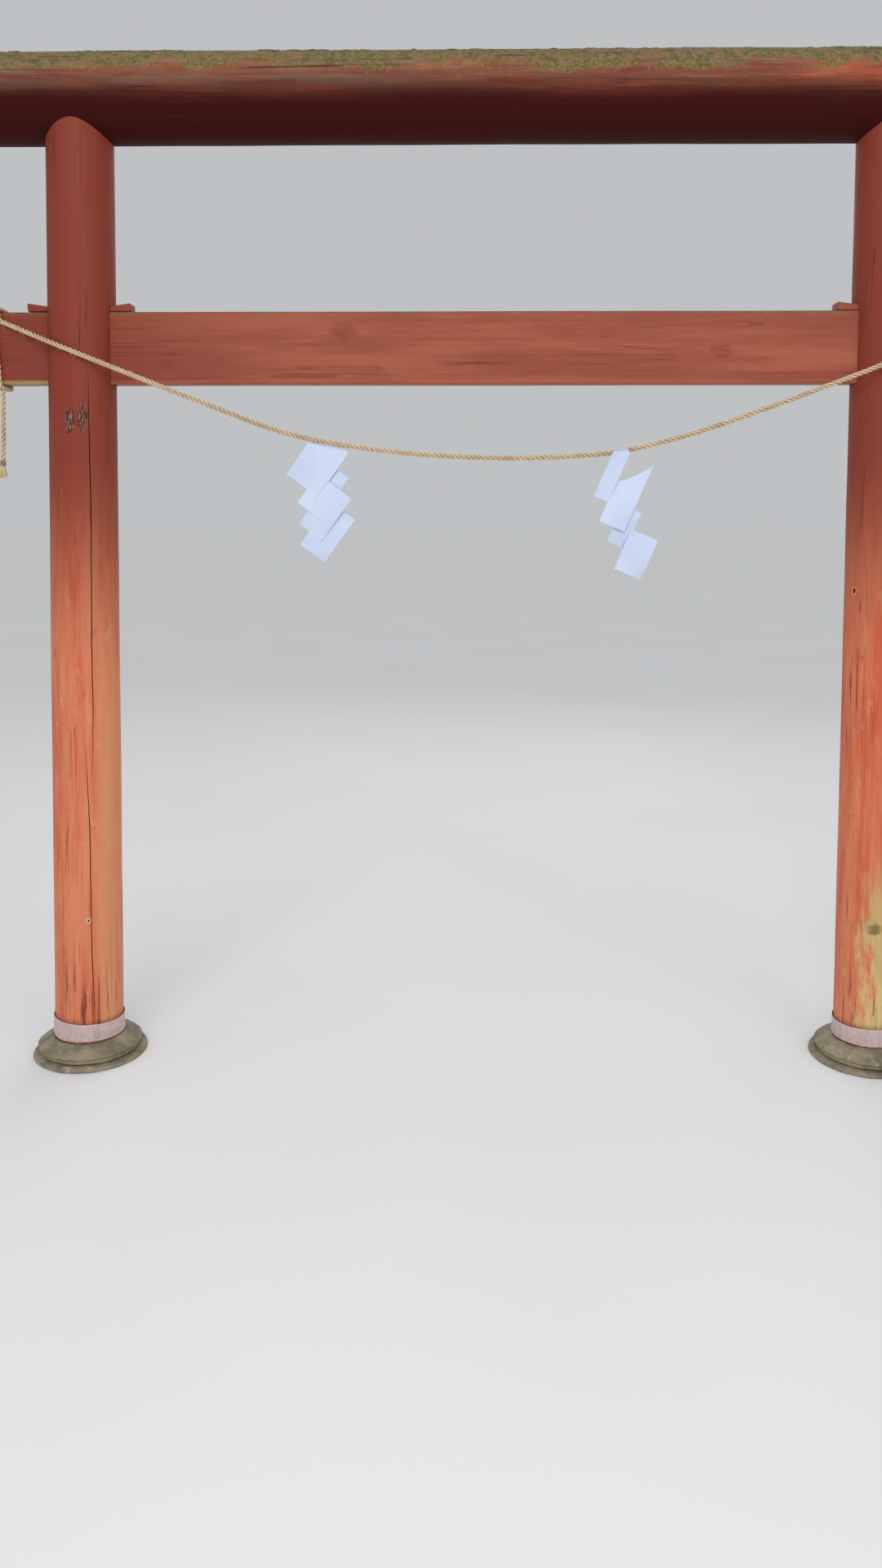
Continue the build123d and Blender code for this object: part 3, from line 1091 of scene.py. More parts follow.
# Distance between the points that the strands follow.
ROPE_STEP = 0.003
# How far a strand's axis lies from the rope's, and the strand's own radius, as
# shares of the rope's diameter.
STRAND_AWAY = 0.262
STRAND_RADIUS = 0.238
# How much a strand swells and thins, and how often, in waves a metre.
STRAND_SWELL = 0.07
STRAND_WAVES = 60
# The hitch: its gap to the beam, how round it goes over an edge, and where it
# passes each edge in turn, both in rope diameters.
HITCH_GAP = 0.0006
HITCH_BEND = 0.85
HITCH_SHIFTS = [passed / 5 - 0.5 for passed in range(6)] + [0.4]
# Stray straws: their count, the seed of their places, their greatest length,
# how far out they start as a share of the rope's diameter, and how far they
# droop as a share of their length.
STRAW_COUNT = 420
STRAW_SEED = 5
STRAW_LENGTH = 0.018
STRAW_ROOT = 0.46
STRAW_DROOP = 0.25
# Brush at each loose end: its straws, the seed of their places, how wide it
# starts as a share of the rope's diameter, and how far it spreads as a share
# of its length.
BRUSH_COUNT = 70
BRUSH_SEED = 9
BRUSH_ROOT = 0.36
BRUSH_SPREAD = 0.28
# Where loose straws lie across the straw's UV map, on its outer side, clear of the shade painted
# between the strands, and how far apart their corners are there.
STRAW_UV = (0.44, 0.06)
BRUSH_UV = (0.42, 0.05)
# Twine bound round a loose end: its turns, the points in each, its thickness as
# a share of the rope's, how far above the end it starts and its own twist.
TWINE_TURNS = 6
TWINE_POINTS = 16
TWINE_SHARE = 0.2
TWINE_START = 0.012
TWINE_PITCH = 0.008


def evenly(places, step):
    """The same line as evenly spaced points."""
    line = [places[0]]
    left = step
    for start, stop in zip(places, places[1:]):
        run = stop - start
        gone = 0.0
        while run.length - gone >= left:
            gone += left
            line.append(start + run.normalized() * gone)
            left = step
        left -= run.length - gone
    if (places[-1] - line[-1]).length > step * 0.3:
        line.append(places[-1])
    return line


def route_line(route):
    """Evenly spaced points on the smooth curve that a route's points control."""
    curve = bpy.data.curves.new("route", "CURVE")
    curve.dimensions = "3D"
    curve.resolution_u = 48
    spline = curve.splines.new("NURBS")
    spline.points.add(len(route) - 1)
    for point, place in zip(spline.points, route):
        point.co = (*place, 1)
    spline.order_u = 3
    spline.use_endpoint_u = True
    holder = bpy.data.objects.new("route", curve)
    bpy.context.collection.objects.link(holder)
    wire = bpy.data.meshes.new_from_object(holder)
    places = [vertex.co.copy() for vertex in wire.vertices]
    bpy.data.objects.remove(holder)
    return evenly(places, ROPE_STEP)


def cross_frames(line):
    """Two directions across a line at each of its points, without twist."""
    frames = []
    first = Vector((0, 0, 1))
    for index in range(len(line)):
        before = line[max(index - 1, 0)]
        after = line[min(index + 1, len(line) - 1)]
        run = (after - before).normalized()
        if abs(first.dot(run)) > 0.99:
            first = Vector((0, 1, 0))
        first = (first - run * first.dot(run)).normalized()
        frames.append((first.copy(), run.cross(first).normalized()))
    return frames


def towards(first, second, angle):
    """Direction at an angle from the first of two directions towards the second."""
    return first * math.cos(angle) + second * math.sin(angle)


def tube_faces(start, rings, sides):
    """Faces of a closed tube whose points lie in rings from a given one on."""
    faces = []
    last = start + (rings - 1) * sides
    for ring in range(start, last, sides):
        for side in range(sides):
            other = (side + 1) % sides
            faces.append((ring + side, ring + other, ring + sides + other, ring + sides + side))
    faces.append(tuple(start + side for side in reversed(range(sides))))
    faces.append(tuple(last + side for side in range(sides)))
    return faces


def lay_rope(name, line, diameter, pitch, strands=3, sides=10):
    """Rope of twisted strands that follow a line."""
    frames = cross_frames(line)
    centre_radius = diameter * STRAND_AWAY
    strand_radius = diameter * STRAND_RADIUS
    points = []
    sheet = []
    faces = []
    for strand in range(strands):
        faces.extend(tube_faces(len(points), len(line), sides))
        travelled = 0.0
        for index, (place, (up, across)) in enumerate(zip(line, frames)):
            if index:
                travelled += (place - line[index - 1]).length
            twist = 2 * math.pi * (strand / strands + travelled / pitch)
            out = towards(up, across, twist)
            round_it = towards(across, -up, twist)
            wave = noise.noise(Vector((strand * 7, travelled * STRAND_WAVES, 0)))
            swell = 1 + STRAND_SWELL * wave
            for side in range(sides):
                spoke = towards(out, round_it, 2 * math.pi * side / sides + math.pi)
                points.append(place + out * centre_radius + spoke * strand_radius * swell)
                sheet.append((side / sides, travelled))
    return mesh_piece(name, points, faces, sheet)


def lay_straws(name, line, diameter, pitch):
    """Stray straws that stand out of a rope along its twist."""
    chance = random.Random(STRAW_SEED)
    frames = cross_frames(line)
    points = []
    sheet = []
    faces = []
    for _ in range(STRAW_COUNT):
        index = chance.randrange(2, len(line) - 8)
        up, across = frames[index]
        run = (line[index + 1] - line[index]).normalized()
        twist = chance.uniform(0, 2 * math.pi)
        out = towards(up, across, twist)
        round_it = towards(across, -up, twist)
        way = chance.choice((-1, 1))
        lay = (run * pitch + round_it * math.pi * diameter).normalized() * way
        place = line[index] + out * diameter * STRAW_ROOT
        size = chance.uniform(0.4, 1.0) * STRAW_LENGTH
        thick = chance.uniform(0.0003, 0.0006)
        lift = chance.uniform(0.1, 0.55)
        start = len(points)
        for step in range(4):
            share = step / 3
            spot = place + lay * size * share + out * size * lift * share**1.6
            spot.z -= size * STRAW_DROOP * share**2
            for corner in range(3):
                spoke = towards(out, lay.cross(out), corner * 2 * math.pi / 3)
                points.append(spot + spoke * thick * (1 - 0.8 * share))
                sheet.append((STRAW_UV[0] + corner * STRAW_UV[1], size * share + start))
        faces.extend(tube_faces(start, 4, 3))
    return mesh_piece(name, points, faces, sheet)


def hitch_route(side, start):
    """Points of the rope's turns round the beam, from the rope's end to the loose end."""
    thick = sizes().rope_diameter
    away = thick / 2 + HITCH_GAP
    front = BEAM_BOX[0].y - away
    back = BEAM_BOX[1].y + away
    low = BEAM_BOX[0].z - away
    high = BEAM_BOX[1].z + away
    bend = thick * HITCH_BEND
    corners = [(front, high), (back, high), (back, low), (front, low)]
    ways = [(0, 1), (1, 0), (0, -1), (-1, 0)]
    middle = BEAM_BOX[1].x - sizes().hitch_inset
    points = [Vector(start)]
    for passed, shift in enumerate(HITCH_SHIFTS):
        x = side * (middle + thick * shift)
        y, z = corners[passed % 4]
        into = ways[passed % 4]
        out = ways[(passed + 1) % 4]
        points.append(Vector((x, y - into[0] * bend, z - into[1] * bend)))
        points.append(Vector((x, y, z)))
        points.append(Vector((x, y + out[0] * bend, z + out[1] * bend)))
    top = tail_top(side)
    points.append(Vector((top.x, top.y + bend, low)))
    points.append(Vector((top.x, top.y, low)))
    points.append(top)
    return points


def tail_top(side):
    """Where a loose end leaves the turns round the beam."""
    thick = sizes().rope_diameter
    across = side * (BEAM_BOX[1].x - sizes().hitch_inset)
    return Vector((across, BEAM_BOX[0].y + thick / 2, BEAM_BOX[0].z - thick - HITCH_GAP))


def rope_end(line):
    """Last point of a line, two directions across it, and the way that it runs."""
    up, across = cross_frames(line)[-1]
    return line[-1], up, across, (line[-1] - line[-3]).normalized()


def tail_binding(name, line, diameter):
    """Thin twine bound round the end of a rope."""
    place, up, across, run = rope_end(line)
    thin = diameter * TWINE_SHARE
    path = []
    for step in range(TWINE_TURNS * TWINE_POINTS + 1):
        out = towards(up, across, 2 * math.pi * step / TWINE_POINTS)
        above = TWINE_START - step / TWINE_POINTS * thin * 0.95
        path.append(place - run * above + out * (diameter / 2 + thin * 0.3))
    return lay_rope(name, path, thin, TWINE_PITCH, strands=2, sides=6)


def tail_brush(name, line, diameter, seed):
    """Cut straw that fans out below the binding."""
    chance = random.Random(seed)
    place, up, across, run = rope_end(line)
    points = []
    sheet = []
    faces = []
    for _ in range(BRUSH_COUNT):
        angle = chance.uniform(0, 2 * math.pi)
        away = math.sqrt(chance.random())
        out = towards(up, across, angle)
        size = chance.uniform(0.022, 0.036)
        thick = chance.uniform(0.0005, 0.0009)
        start = len(points)
        for step in range(4):
            share = step / 3
            spread = out * away * (diameter * BRUSH_ROOT + size * BRUSH_SPREAD * share**1.5)
            spot = place + run * size * share + spread
            for corner in range(4):
                spoke = towards(up, across, corner * math.pi / 2 + angle)
                points.append(spot + spoke * thick)
                sheet.append((BRUSH_UV[0] + corner * BRUSH_UV[1], size * share + start))
        faces.extend(tube_faces(start, 4, 4))
    return mesh_piece(name, points, faces, sheet)


def finish_rope_piece(piece, straw, nodes=()):
    """Give a rope piece its straw and let it ride."""
    finish_piece(piece, nodes, [straw], angle=60)


def lay_hitch(name, side, straw):
    """Wind the rope's turns round one end of the beam."""
    thick = sizes().rope_diameter
    end = ROPE_ROUTE[0] if side < 0 else ROPE_ROUTE[-1]
    turns = route_line(hitch_route(side, end))
    hitch = lay_rope(f"rope_turns_{name}", turns, thick, sizes().rope_pitch)
    finish_rope_piece(hitch, straw, [f"rope_hitch_{name}"])


def hang_tail(name, side, straw):
    """Hang one loose end below its hitch, bound and frayed."""
    thick = sizes().rope_diameter
    top = tail_top(side)
    fall = route_line([top + Vector((side * x, y, z)) for x, y, z in TAIL_ROUTE])
    tail = lay_rope(f"rope_end_{name}", fall, thick, sizes().rope_pitch)
    binding = tail_binding(f"rope_binding_{name}", fall, thick)
    brush = tail_brush(f"rope_brush_{name}", fall, thick, BRUSH_SEED + side)
    finish_rope_piece(tail, straw, [f"rope_tail_{name}"])
    finish_rope_piece(binding, straw)
    finish_rope_piece(brush, straw)


class TORII_OT_rope(bpy.types.Operator):
    """Lay the straw rope with its hitches and its loose ends"""

    bl_idname = "torii.rope"
    bl_label = "Straw rope"

    def execute(self, context):
        straw = straw_finish()
        thick = sizes().rope_diameter
        line = route_line(ROPE_ROUTE)
        rope = lay_rope("rope_strands", line, thick, sizes().rope_pitch)
        fibres = lay_straws("rope_straws", line, thick, sizes().rope_pitch)
        finish_rope_piece(rope, straw, ["rope"])
        finish_rope_piece(fibres, straw)
        for name, side in SIDES.items():
            lay_hitch(name, side, straw)
            hang_tail(name, side, straw)
        return {"FINISHED"}


# Paper streamers.

Streamer = namedtuple("Streamer", "place turn folds")
Fold = namedtuple("Fold", "left right top_left top_right bottom forward tip corner")

# Place on the rope, turn from the vertical, and the folds from the top down.
# For each one: its left and right edge, the drop of its top at each, its
# bottom, how far it stands forward and how far its top and bottom right
# corners curl.
STREAMERS = {
    "left": Streamer(
        (-0.42, 1.756),
        math.radians(36.7),
        [
            Fold(-0.022, 0.077, 0.024, -0.019, 0.116, 0.006, 0.0, 0.004),
            Fold(0.043, 0.113, 0.028, 0.028, 0.158, 0.002, 0.0, 0.0),
            Fold(0.077, 0.150, 0.066, 0.066, 0.200, 0.006, 0.0, 0.005),
            Fold(0.110, 0.188, 0.105, 0.105, 0.242, 0.002, 0.0, -0.008),
        ],
    ),
    "right": Streamer(
        (0.354, 1.733),
        math.radians(22.6),
        [
            Fold(-0.015, 0.026, 0.0125, -0.004, 0.128, 0.0075, 0.0, 0.0),
            Fold(0.024, 0.095, 0.071, -0.002, 0.181, 0.0036, 0.018, 0.0),
            Fold(0.065, 0.117, 0.120, 0.120, 0.220, 0.0, 0.0, 0.0),
            Fold(0.110, 0.187, 0.167, 0.167, 0.277, 0.0045, 0.0, -0.014),
        ],
    ),
}
# How far in front of the beam the paper hangs.
PAPER_AWAY = 0.0753
# How far a fold tips, bows and waves.
FOLD_TIP = 0.0045
FOLD_BOW = 0.0012
FOLD_WAVE = 0.0007
# How far the strip between two folds stays clear of their corners, as a share
# of its own drop.
STRIP_CLEAR = 0.02
# The loop over the rope: how much it is pinched, how fast it turns, the share
# of its way that is round the rope, how high it rises as a share of its depth,
# and how far it goes on down behind.
LOOP_PINCH = 0.026
LOOP_TURN = 1.35
LOOP_ROUND = 0.74
LOOP_RISE = 0.55
LOOP_HANG = 0.07
# Faces across and down a fold, the strip between two, and the loop.
FOLD_GRID = (8, 10)
STRIP_GRID = (2, 10)
LOOP_GRID = (8, 8)


def paper_point(streamer, across, drop, depth):
    """Point on a streamer from its own across, drop and depth."""
    turn = streamer.turn
    x = streamer.place[0] + across * math.cos(turn) - drop * math.sin(turn)
    z = streamer.place[1] - across * math.sin(turn) - drop * math.cos(turn)
    return Vector((x, BEAM_BOX[0].y - PAPER_AWAY - depth, z))


def fold_depth(fold, index, share_down):
    """How far a fold stands forward: each one tips the other way from its neighbour."""
    way = 1 if index % 2 else -1
    return fold.forward + FOLD_TIP * way * (2 * share_down - 1)


def fold_point(streamer, index, share_across, share_down):
    """Point on one fold, bowed a little and curled at its corners."""
    fold = streamer.folds[index]
    across = fold.left + (fold.right - fold.left) * share_across
    rise = share_across ** (1.5 if fold.tip else 1)
    top = fold.top_left + (fold.top_right - fold.top_left) * rise
    drop = top + (fold.bottom - top) * share_down
    bow = FOLD_BOW * math.sin(math.pi * share_across) * math.sin(math.pi * share_down)
    lift = fold.tip * (share_across * (1 - share_down)) ** 1.8
    lift += fold.corner * (share_across * share_down) ** 3
    wave = FOLD_WAVE * noise.noise(Vector((across * 30, drop * 30, streamer.place[0])))
    depth = fold_depth(fold, index, share_down) + bow + lift + wave
    return paper_point(streamer, across, drop, depth)


def strip_point(streamer, index, share_across, share_down):
    """Point on the strip between a fold and the one above it, clear of their corners."""
    above, fold = streamer.folds[index - 1 : index + 1]
    start = max(fold.top_left, above.top_right) if index > 1 else fold.top_left
    across = fold.left + (above.right - fold.left) * share_across
    share = STRIP_CLEAR + (1 - 2 * STRIP_CLEAR) * share_down
    drop = start + (above.bottom - start) * share
    down_above = (drop - above.top_left) / (above.bottom - above.top_left)
    down_fold = (drop - fold.top_left) / (fold.bottom - fold.top_left)
    depth = fold_depth(above, index - 1, down_above) + fold_depth(fold, index, down_fold)
    return paper_point(streamer, across, drop, depth / 2)


def loop_point(streamer, share_across, share_round):
    """Point where the paper goes over the rope, pinched, and a little way down behind it."""
    fold = streamer.folds[0]
    angle = math.pi * min(1, share_round * LOOP_TURN)
    pinch = LOOP_PINCH * (1 - max(0, math.cos(angle))) * (0.5 - share_across)
    across = fold.left + (fold.right - fold.left) * share_across + pinch
    drop = fold.top_left + (fold.top_right - fold.top_left) * share_across
    spot = paper_point(streamer, across, drop, fold_depth(fold, 0, 0.0))
    rope_y = ROPE_ROUTE[7][1]
    radius = rope_y - spot.y
    spot.y = rope_y - radius * math.cos(angle)
    hang = LOOP_HANG * max(0, share_round - LOOP_ROUND)
    spot.x -= hang * math.sin(streamer.turn)
    spot.z += radius * math.sin(angle) * LOOP_RISE - hang * math.cos(streamer.turn)
    return spot


def add_grid(points, faces, corner, grid):
    """Add a grid of faces to a mesh, its corners placed by a function."""
    wide, high = grid
    start = len(points)
    for row in range(high + 1):
        for column in range(wide + 1):
            points.append(corner(column / wide, row / high))
    for row in range(high):
        for column in range(wide):
            first = start + row * (wide + 1) + column
            faces.append((first, first + wide + 1, first + wide + 2, first + 1))


def fold_streamer(name, streamer):
    """One zigzag of paper: each fold goes back behind the one before it."""
    points = []
    faces = []
    add_grid(points, faces, partial(loop_point, streamer), LOOP_GRID)
    for index in range(len(streamer.folds)):
        add_grid(points, faces, partial(fold_point, streamer, index), FOLD_GRID)
        if index:
            add_grid(points, faces, partial(strip_point, streamer, index), STRIP_GRID)
    piece = mesh_piece(name, points, faces)
    with editing(piece, "VERT"):
        bpy.ops.mesh.select_all(action="SELECT")
        bpy.ops.mesh.remove_doubles(threshold=0.0003)
    return piece


class TORII_OT_streamers(bpy.types.Operator):
    """Fold the two paper streamers over the rope"""

    bl_idname = "torii.streamers"
    bl_label = "Paper streamers"

    def execute(self, context):
        paper = paper_finish()
        for name, streamer in STREAMERS.items():
            piece = fold_streamer(f"paper_{name}", streamer)
            add_modifier(piece, "SOLIDIFY", thickness=sizes().paper_thickness, offset=0)
            finish_piece(piece, [f"streamer_{name}"], [paper], angle=35)
        return {"FINISHED"}


# Footings and collars.

# Gap between a post and what it stands in.
POST_GAP = 0.0003
# Steps of the round footings and of the collars.
FOOTING_STEPS = 140
COLLAR_STEPS = 120
# Outline of a mortar bed from its foot up: how far it stands in from the edge,
# and its share of the height.
BED_PROFILE = [(0.002, 0), (0, 0.3), (0.003, 0.62), (0.009, 0.86), (0.022, 0.98), (0.045, 1)]
# Outline of a plinth's foot: how far it stands in from the edge, and its
# height above the bed.
PLINTH_FOOT = [(0.008, 0), (0.006, 0.003)]
# Outline of a plinth's side below its rim: how far it stands in from the edge,
# and how far below the rim it is, with the groove that the mould left.
PLINTH_SIDE = [(0.0055, 0.0105), (0.0075, 0.009), (0.001, 0.0078)]
# Points of the slope above the rim, as shares of its way in to the post, and
# how it bulges.
SLOPE_POINTS = (0.25, 0.5, 0.75, 1.0)
SLOPE_BULGE = 0.85
# The rim's share of the plinth's height, its rounding, and the flat ring that
# the slope leaves round the post.
RIM_SHARE = 0.49
RIM_ROUNDING = 0.006
PLINTH_RING = 0.0075
# Size of the hollows in each footing and between the sand grains, and how deep
# both are as shares of the footings' relief.
BED_HOLLOWS = 0.045
PLINTH_HOLLOWS = 0.06
SAND_HOLLOWS = 0.009
HOLLOW_DEPTH = 1.2
SAND_DEPTH = 0.35
# Zinc sheet: its thickness, how far its hem stands out, how far a collar goes
# down before it is cut level, its gap to the plinth there, and how far its
# upper edge stays below the top of its CAD box.
ZINC_SHEET = 0.0014
ZINC_HEM = 0.0033
ZINC_TUCK = 0.02
ZINC_GAP = 0.0002
ZINC_DROP = 0.006
# Where the lap at the back begins and ends, as angles, and its thickness.
LAP_START = 1.18
LAP_STOP = 1.36
LAP_THICKNESS = 0.0012
# Rivets beside the lap: their angles, their radius, how flat they are, how
# deep they sit, and how far they are from the collar's lower and upper edge.
RIVET_ANGLES = (1.28, 1.43)
RIVET_RADIUS = 0.0032
RIVET_FLATNESS = 0.45
RIVET_SEAT = 0.0014
RIVET_FROM_LOW = 0.018
RIVET_FROM_HIGH = 0.014


def axis_place(side, height):
    """Point on a post's axis at a height."""
    lean = math.tan(sizes().post_lean)
    return Vector((side * (sizes().post_spacing / 2 - height * lean), 0, height))


def post_radius(height):
    """Radius of a post at a height."""
    share = height / (LINTEL_AXIS - LINTEL_RADIUS / 2)
    return sizes().foot_radius + (sizes().head_radius - sizes().foot_radius) * share


def bed_profile(bore):
    """Outline of a mortar bed, thin towards its edge."""
    wide = (PAD_BOX[1].x - PAD_BOX[0].x) / 2
    high = PAD_BOX[1].z
    side = [(wide - inset, high * share) for inset, share in BED_PROFILE]
    return [(bore, 0), *side, (bore, high)]


def plinth_profile(bore):
    """Outline of a plinth: upright side, rounded rim and a slope up to the post."""
    wide = (PLINTH_BOX[1].x - PLINTH_BOX[0].x) / 2
    low = PLINTH_BOX[0].z
    top = PLINTH_BOX[1].z
    rim = low + (top - low) * RIM_SHARE
    cast = [(bore, low)]
    cast += [(wide - inset, low + rise) for inset, rise in PLINTH_FOOT]
    cast += [(wide - inset, rim - drop) for inset, drop in PLINTH_SIDE]
    for step in range(6):
        angle = math.radians(12 * step)
        inset = RIM_ROUNDING * (1 - math.cos(angle))
        cast.append((wide - inset, rim + RIM_ROUNDING * (math.sin(angle) - 1)))
    edge = cast[-1]
    for share in SLOPE_POINTS:
        radius = edge[0] + (bore + PLINTH_RING - edge[0]) * share
        cast.append((radius, edge[1] + (top - edge[1]) * share**SLOPE_BULGE))
    return [*cast, (bore, top)]


class TORII_OT_footings(bpy.types.Operator):
    """Cast the mortar beds and concrete plinths"""

    bl_idname = "torii.footings"
    bl_label = "Footings"

    def execute(self, context):
        bore = sizes().foot_radius + POST_GAP
        relief = sizes().concrete_relief
        middle = ((PAD_BOX[0].x + PAD_BOX[1].x) / 2, 0, 0)
        up = (0, 0, 1)
        pad = lathe("mortar_bed_left", bed_profile(bore), middle, up, FOOTING_STEPS)
        plinth = lathe("plinth_cast_left", plinth_profile(bore), middle, up, FOOTING_STEPS)
        for piece, grain in ((pad, BED_HOLLOWS), (plinth, PLINTH_HOLLOWS)):
            add_modifier(piece, "SUBSURF", levels=1, render_levels=1, subdivision_type="SIMPLE")
            roughen(piece, depth=relief * HOLLOW_DEPTH, grain=grain)
            roughen(piece, depth=relief * SAND_DEPTH, grain=SAND_HOLLOWS)
        for node, piece, green in (("pad", pad, 0.4), ("plinth", plinth, 0.62)):
            finish = concrete_finish(f"concrete_{node}", green)
            twin = copy_of(piece, piece.name.replace("left", "right"), MIRROR)
            finish_piece(piece, [f"{node}_left"], [finish], angle=50)
            finish_piece(twin, [f"{node}_right"], [finish], angle=50)
        return {"FINISHED"}


def collar_profile(inner, low, high):
    """Outline of a collar: tucked foot, folded hem and thin upper edge."""
    face = inner + ZINC_SHEET
    outer = inner + ZINC_HEM
    return [
        (inner, low - ZINC_TUCK),
        (face, low - ZINC_TUCK),
        (face, low + 0.005),
        (outer, low + 0.0065),
        (outer, low + 0.0105),
        (face, low + 0.012),
        (face + 0.0003, (low + high) / 2),
        (face + 0.0002, high - 0.003),
        (face - 0.0004, high - 0.0006),
        (inner + 0.0003, high),
        (inner, high - 0.001),
    ]


def on_lap(face, foot):
    """Whether an outer face of the collar lies under the lap at the back."""
    away = face.calc_center_median() - foot
    angle = math.atan2(away.y, away.x)
    outside = face.normal.xy.normalized().dot(away.xy.normalized()) > 0.7
    return outside and LAP_START < angle < LAP_STOP


def add_rivet(foot, axis, radius, angle, height):
    """Domed rivet head on the collar."""
    out = Vector((math.cos(angle), math.sin(angle), 0))
    bpy.ops.mesh.primitive_uv_sphere_add(segments=12, ring_count=6, radius=RIVET_RADIUS)
    head = bpy.context.object
    head.scale = (1, 1, RIVET_FLATNESS)
    head.rotation_euler = out.to_track_quat("Z", "Y").to_euler()
    head.location = foot + axis * height + out * (radius - RIVET_SEAT)
    set_place(head)
    return head


class TORII_OT_collars(bpy.types.Operator):
    """Wrap the zinc collars round the feet of the posts"""

    bl_idname = "torii.collars"
    bl_label = "Zinc collars"

    def execute(self, context):
        zinc = zinc_finish()
        inner = sizes().foot_radius + POST_GAP
        low = COLLAR_BOX[0].z
        high = COLLAR_BOX[1].z - ZINC_DROP
        foot = axis_place(-1, 0)
        axis = (axis_place(-1, 1) - foot).normalized()
        profile = collar_profile(inner, low, high)
        collar = lathe("zinc_collar_left", profile, foot, axis, COLLAR_STEPS)
        with editing(collar, "FACE"):
            pick(collar, "faces", lambda face: on_lap(face, foot))
            bpy.ops.mesh.extrude_region_shrink_fatten(
                TRANSFORM_OT_shrink_fatten={"value": LAP_THICKNESS}
            )
            cut_below(low + ZINC_GAP)
        roughen(collar, depth=0.0009, grain=0.035)
        rivets = [
            add_rivet(foot, axis, inner + ZINC_HEM, angle, height)
            for angle in RIVET_ANGLES
            for height in (low + RIVET_FROM_LOW, high - RIVET_FROM_HIGH)
        ]
        select_only(collar, *rivets)
        bpy.ops.object.join()
        twin = copy_of(collar, "zinc_collar_right", MIRROR)
        finish_piece(collar, ["collar_left"], [zinc], angle=45)
        finish_piece(twin, ["collar_right"], [zinc], angle=45)
        return {"FINISHED"}


# Posts.

Crack = namedtuple("Crack", "angle height reach drift")

# Cracks in each post: angle from the front towards +X, middle height, reach
# and how far it drifts sideways on the way up.
POST_CRACKS = {
    "left": [
        Crack(0.455, 1.42, 1.12, 0.0),
        Crack(0.36, 0.53, 0.88, 0.019),
        Crack(-2.2, 0.8, 1.1, 0.0),
        Crack(2.5, 1.35, 0.7, 0.01),
        Crack(0.12, 0.19, 0.17, 0.0),
        Crack(-0.3, 0.2, 0.12, 0.0),
    ],
    "right": [
        Crack(-0.12, 0.155, 0.11, 0.0),
        Crack(1.1, 1.15, 1.2, 0.01),
        Crack(-2.7, 0.7, 0.9, 0.0),
        Crack(-0.05, 0.95, 0.4, 0.0),
    ],
}
# Sides of a post, and the rings that its surface is shaped by.
POST_SIDES = 80
POST_RINGS = 78
# How far a post's log goes on below the ground before it is cut level there,
# how far its head ends below the lintel's axis, and how deep the cope bites.
POST_SPARE = 0.01
HEAD_DROP = 0.05
COPE_BITE = 0.0035
# The mortise: its length and width, the slope of its roof and the roof's gap.
MORTISE_LENGTH = 0.3
MORTISE_WIDTH = 0.0612
ROOF_SLOPE = math.radians(8)
ROOF_GAP = 0.003


def mortise_shape(side):
    """Opening for the beam with its flared roof for the wedges."""
    low, high = BEAM_BOX
    middle = axis_place(side, high.z).x
    bpy.ops.mesh.primitive_cube_add(
        size=1,
        location=(middle, 0, (low.z + high.z) / 2),
        scale=(MORTISE_LENGTH, MORTISE_WIDTH, high.z - low.z),
    )
    shape = take_new("mortise")
    rise = math.tan(ROOF_SLOPE) * MORTISE_LENGTH / 2
    along = runs_along((1, 0, 0))
    roof = high.z - 0.01
    outer = MORTISE_LENGTH * 0.4
    with editing(shape):
        pick(shape, "edges", lambda edge: along(edge) and edge.verts[0].co.z > roof)
        bpy.ops.mesh.subdivide(number_cuts=1)
        at_end = lies_where(lambda place: abs(place.x - middle) > outer and place.z > roof)
        pick(shape, "edges", at_end)
        bpy.ops.transform.translate(value=(0, 0, rise + ROOF_GAP))
    return shape


def cope_shape():
    """Plain round shape of the lintel, to cope the posts' heads with."""
    bpy.ops.mesh.primitive_cylinder_add(
        vertices=96,
        radius=LINTEL_RADIUS - COPE_BITE,
        depth=3.2,
        location=(0, 0, LINTEL_AXIS),
        rotation=(0, math.radians(90), 0),
    )
    return take_new("cope")


def post_log(name, foot, head):
    """Leaning log of one post, worn along its grain and level at the ground."""
    side = SIDES[name]
    radii = post_radius(foot.z), post_radius(head.z)
    log = add_log(f"log_post_{name}", foot, head, *radii, POST_SIDES)
    ring_log(log, head - foot, POST_RINGS)
    turn = (0, -side * sizes().post_lean, 0)
    relief = sizes().log_relief
    fibres = sizes().fibre_relief
    roughen(log, depth=relief, grain=0.12, stretch=(1, 1, 3), turn=turn, offset=2.0 + side)
    roughen(log, depth=fibres, grain=0.012, stretch=(1, 1, 22), turn=turn, offset=5.0 + side)
    with editing(log, "FACE"):
        cut_below(0.0005)
    return log


def crack_blade(side, axis, crack):
    """Blade for one crack in a post; a short crack is shallower and finer."""
    out = Vector((math.sin(crack.angle), -math.cos(crack.angle), 0))
    middle = axis_place(side, crack.height) + out * post_radius(crack.height)
    depth = sizes().crack_depth * min(1, crack.reach)
    width = sizes().crack_width * min(1, 0.5 + crack.reach / 2)
    return add_blade(
        middle, out, along=axis, reach=crack.reach, depth=depth, width=width,
        seed=crack.angle * 3, wander=0.0025, slant=crack.drift,
    )


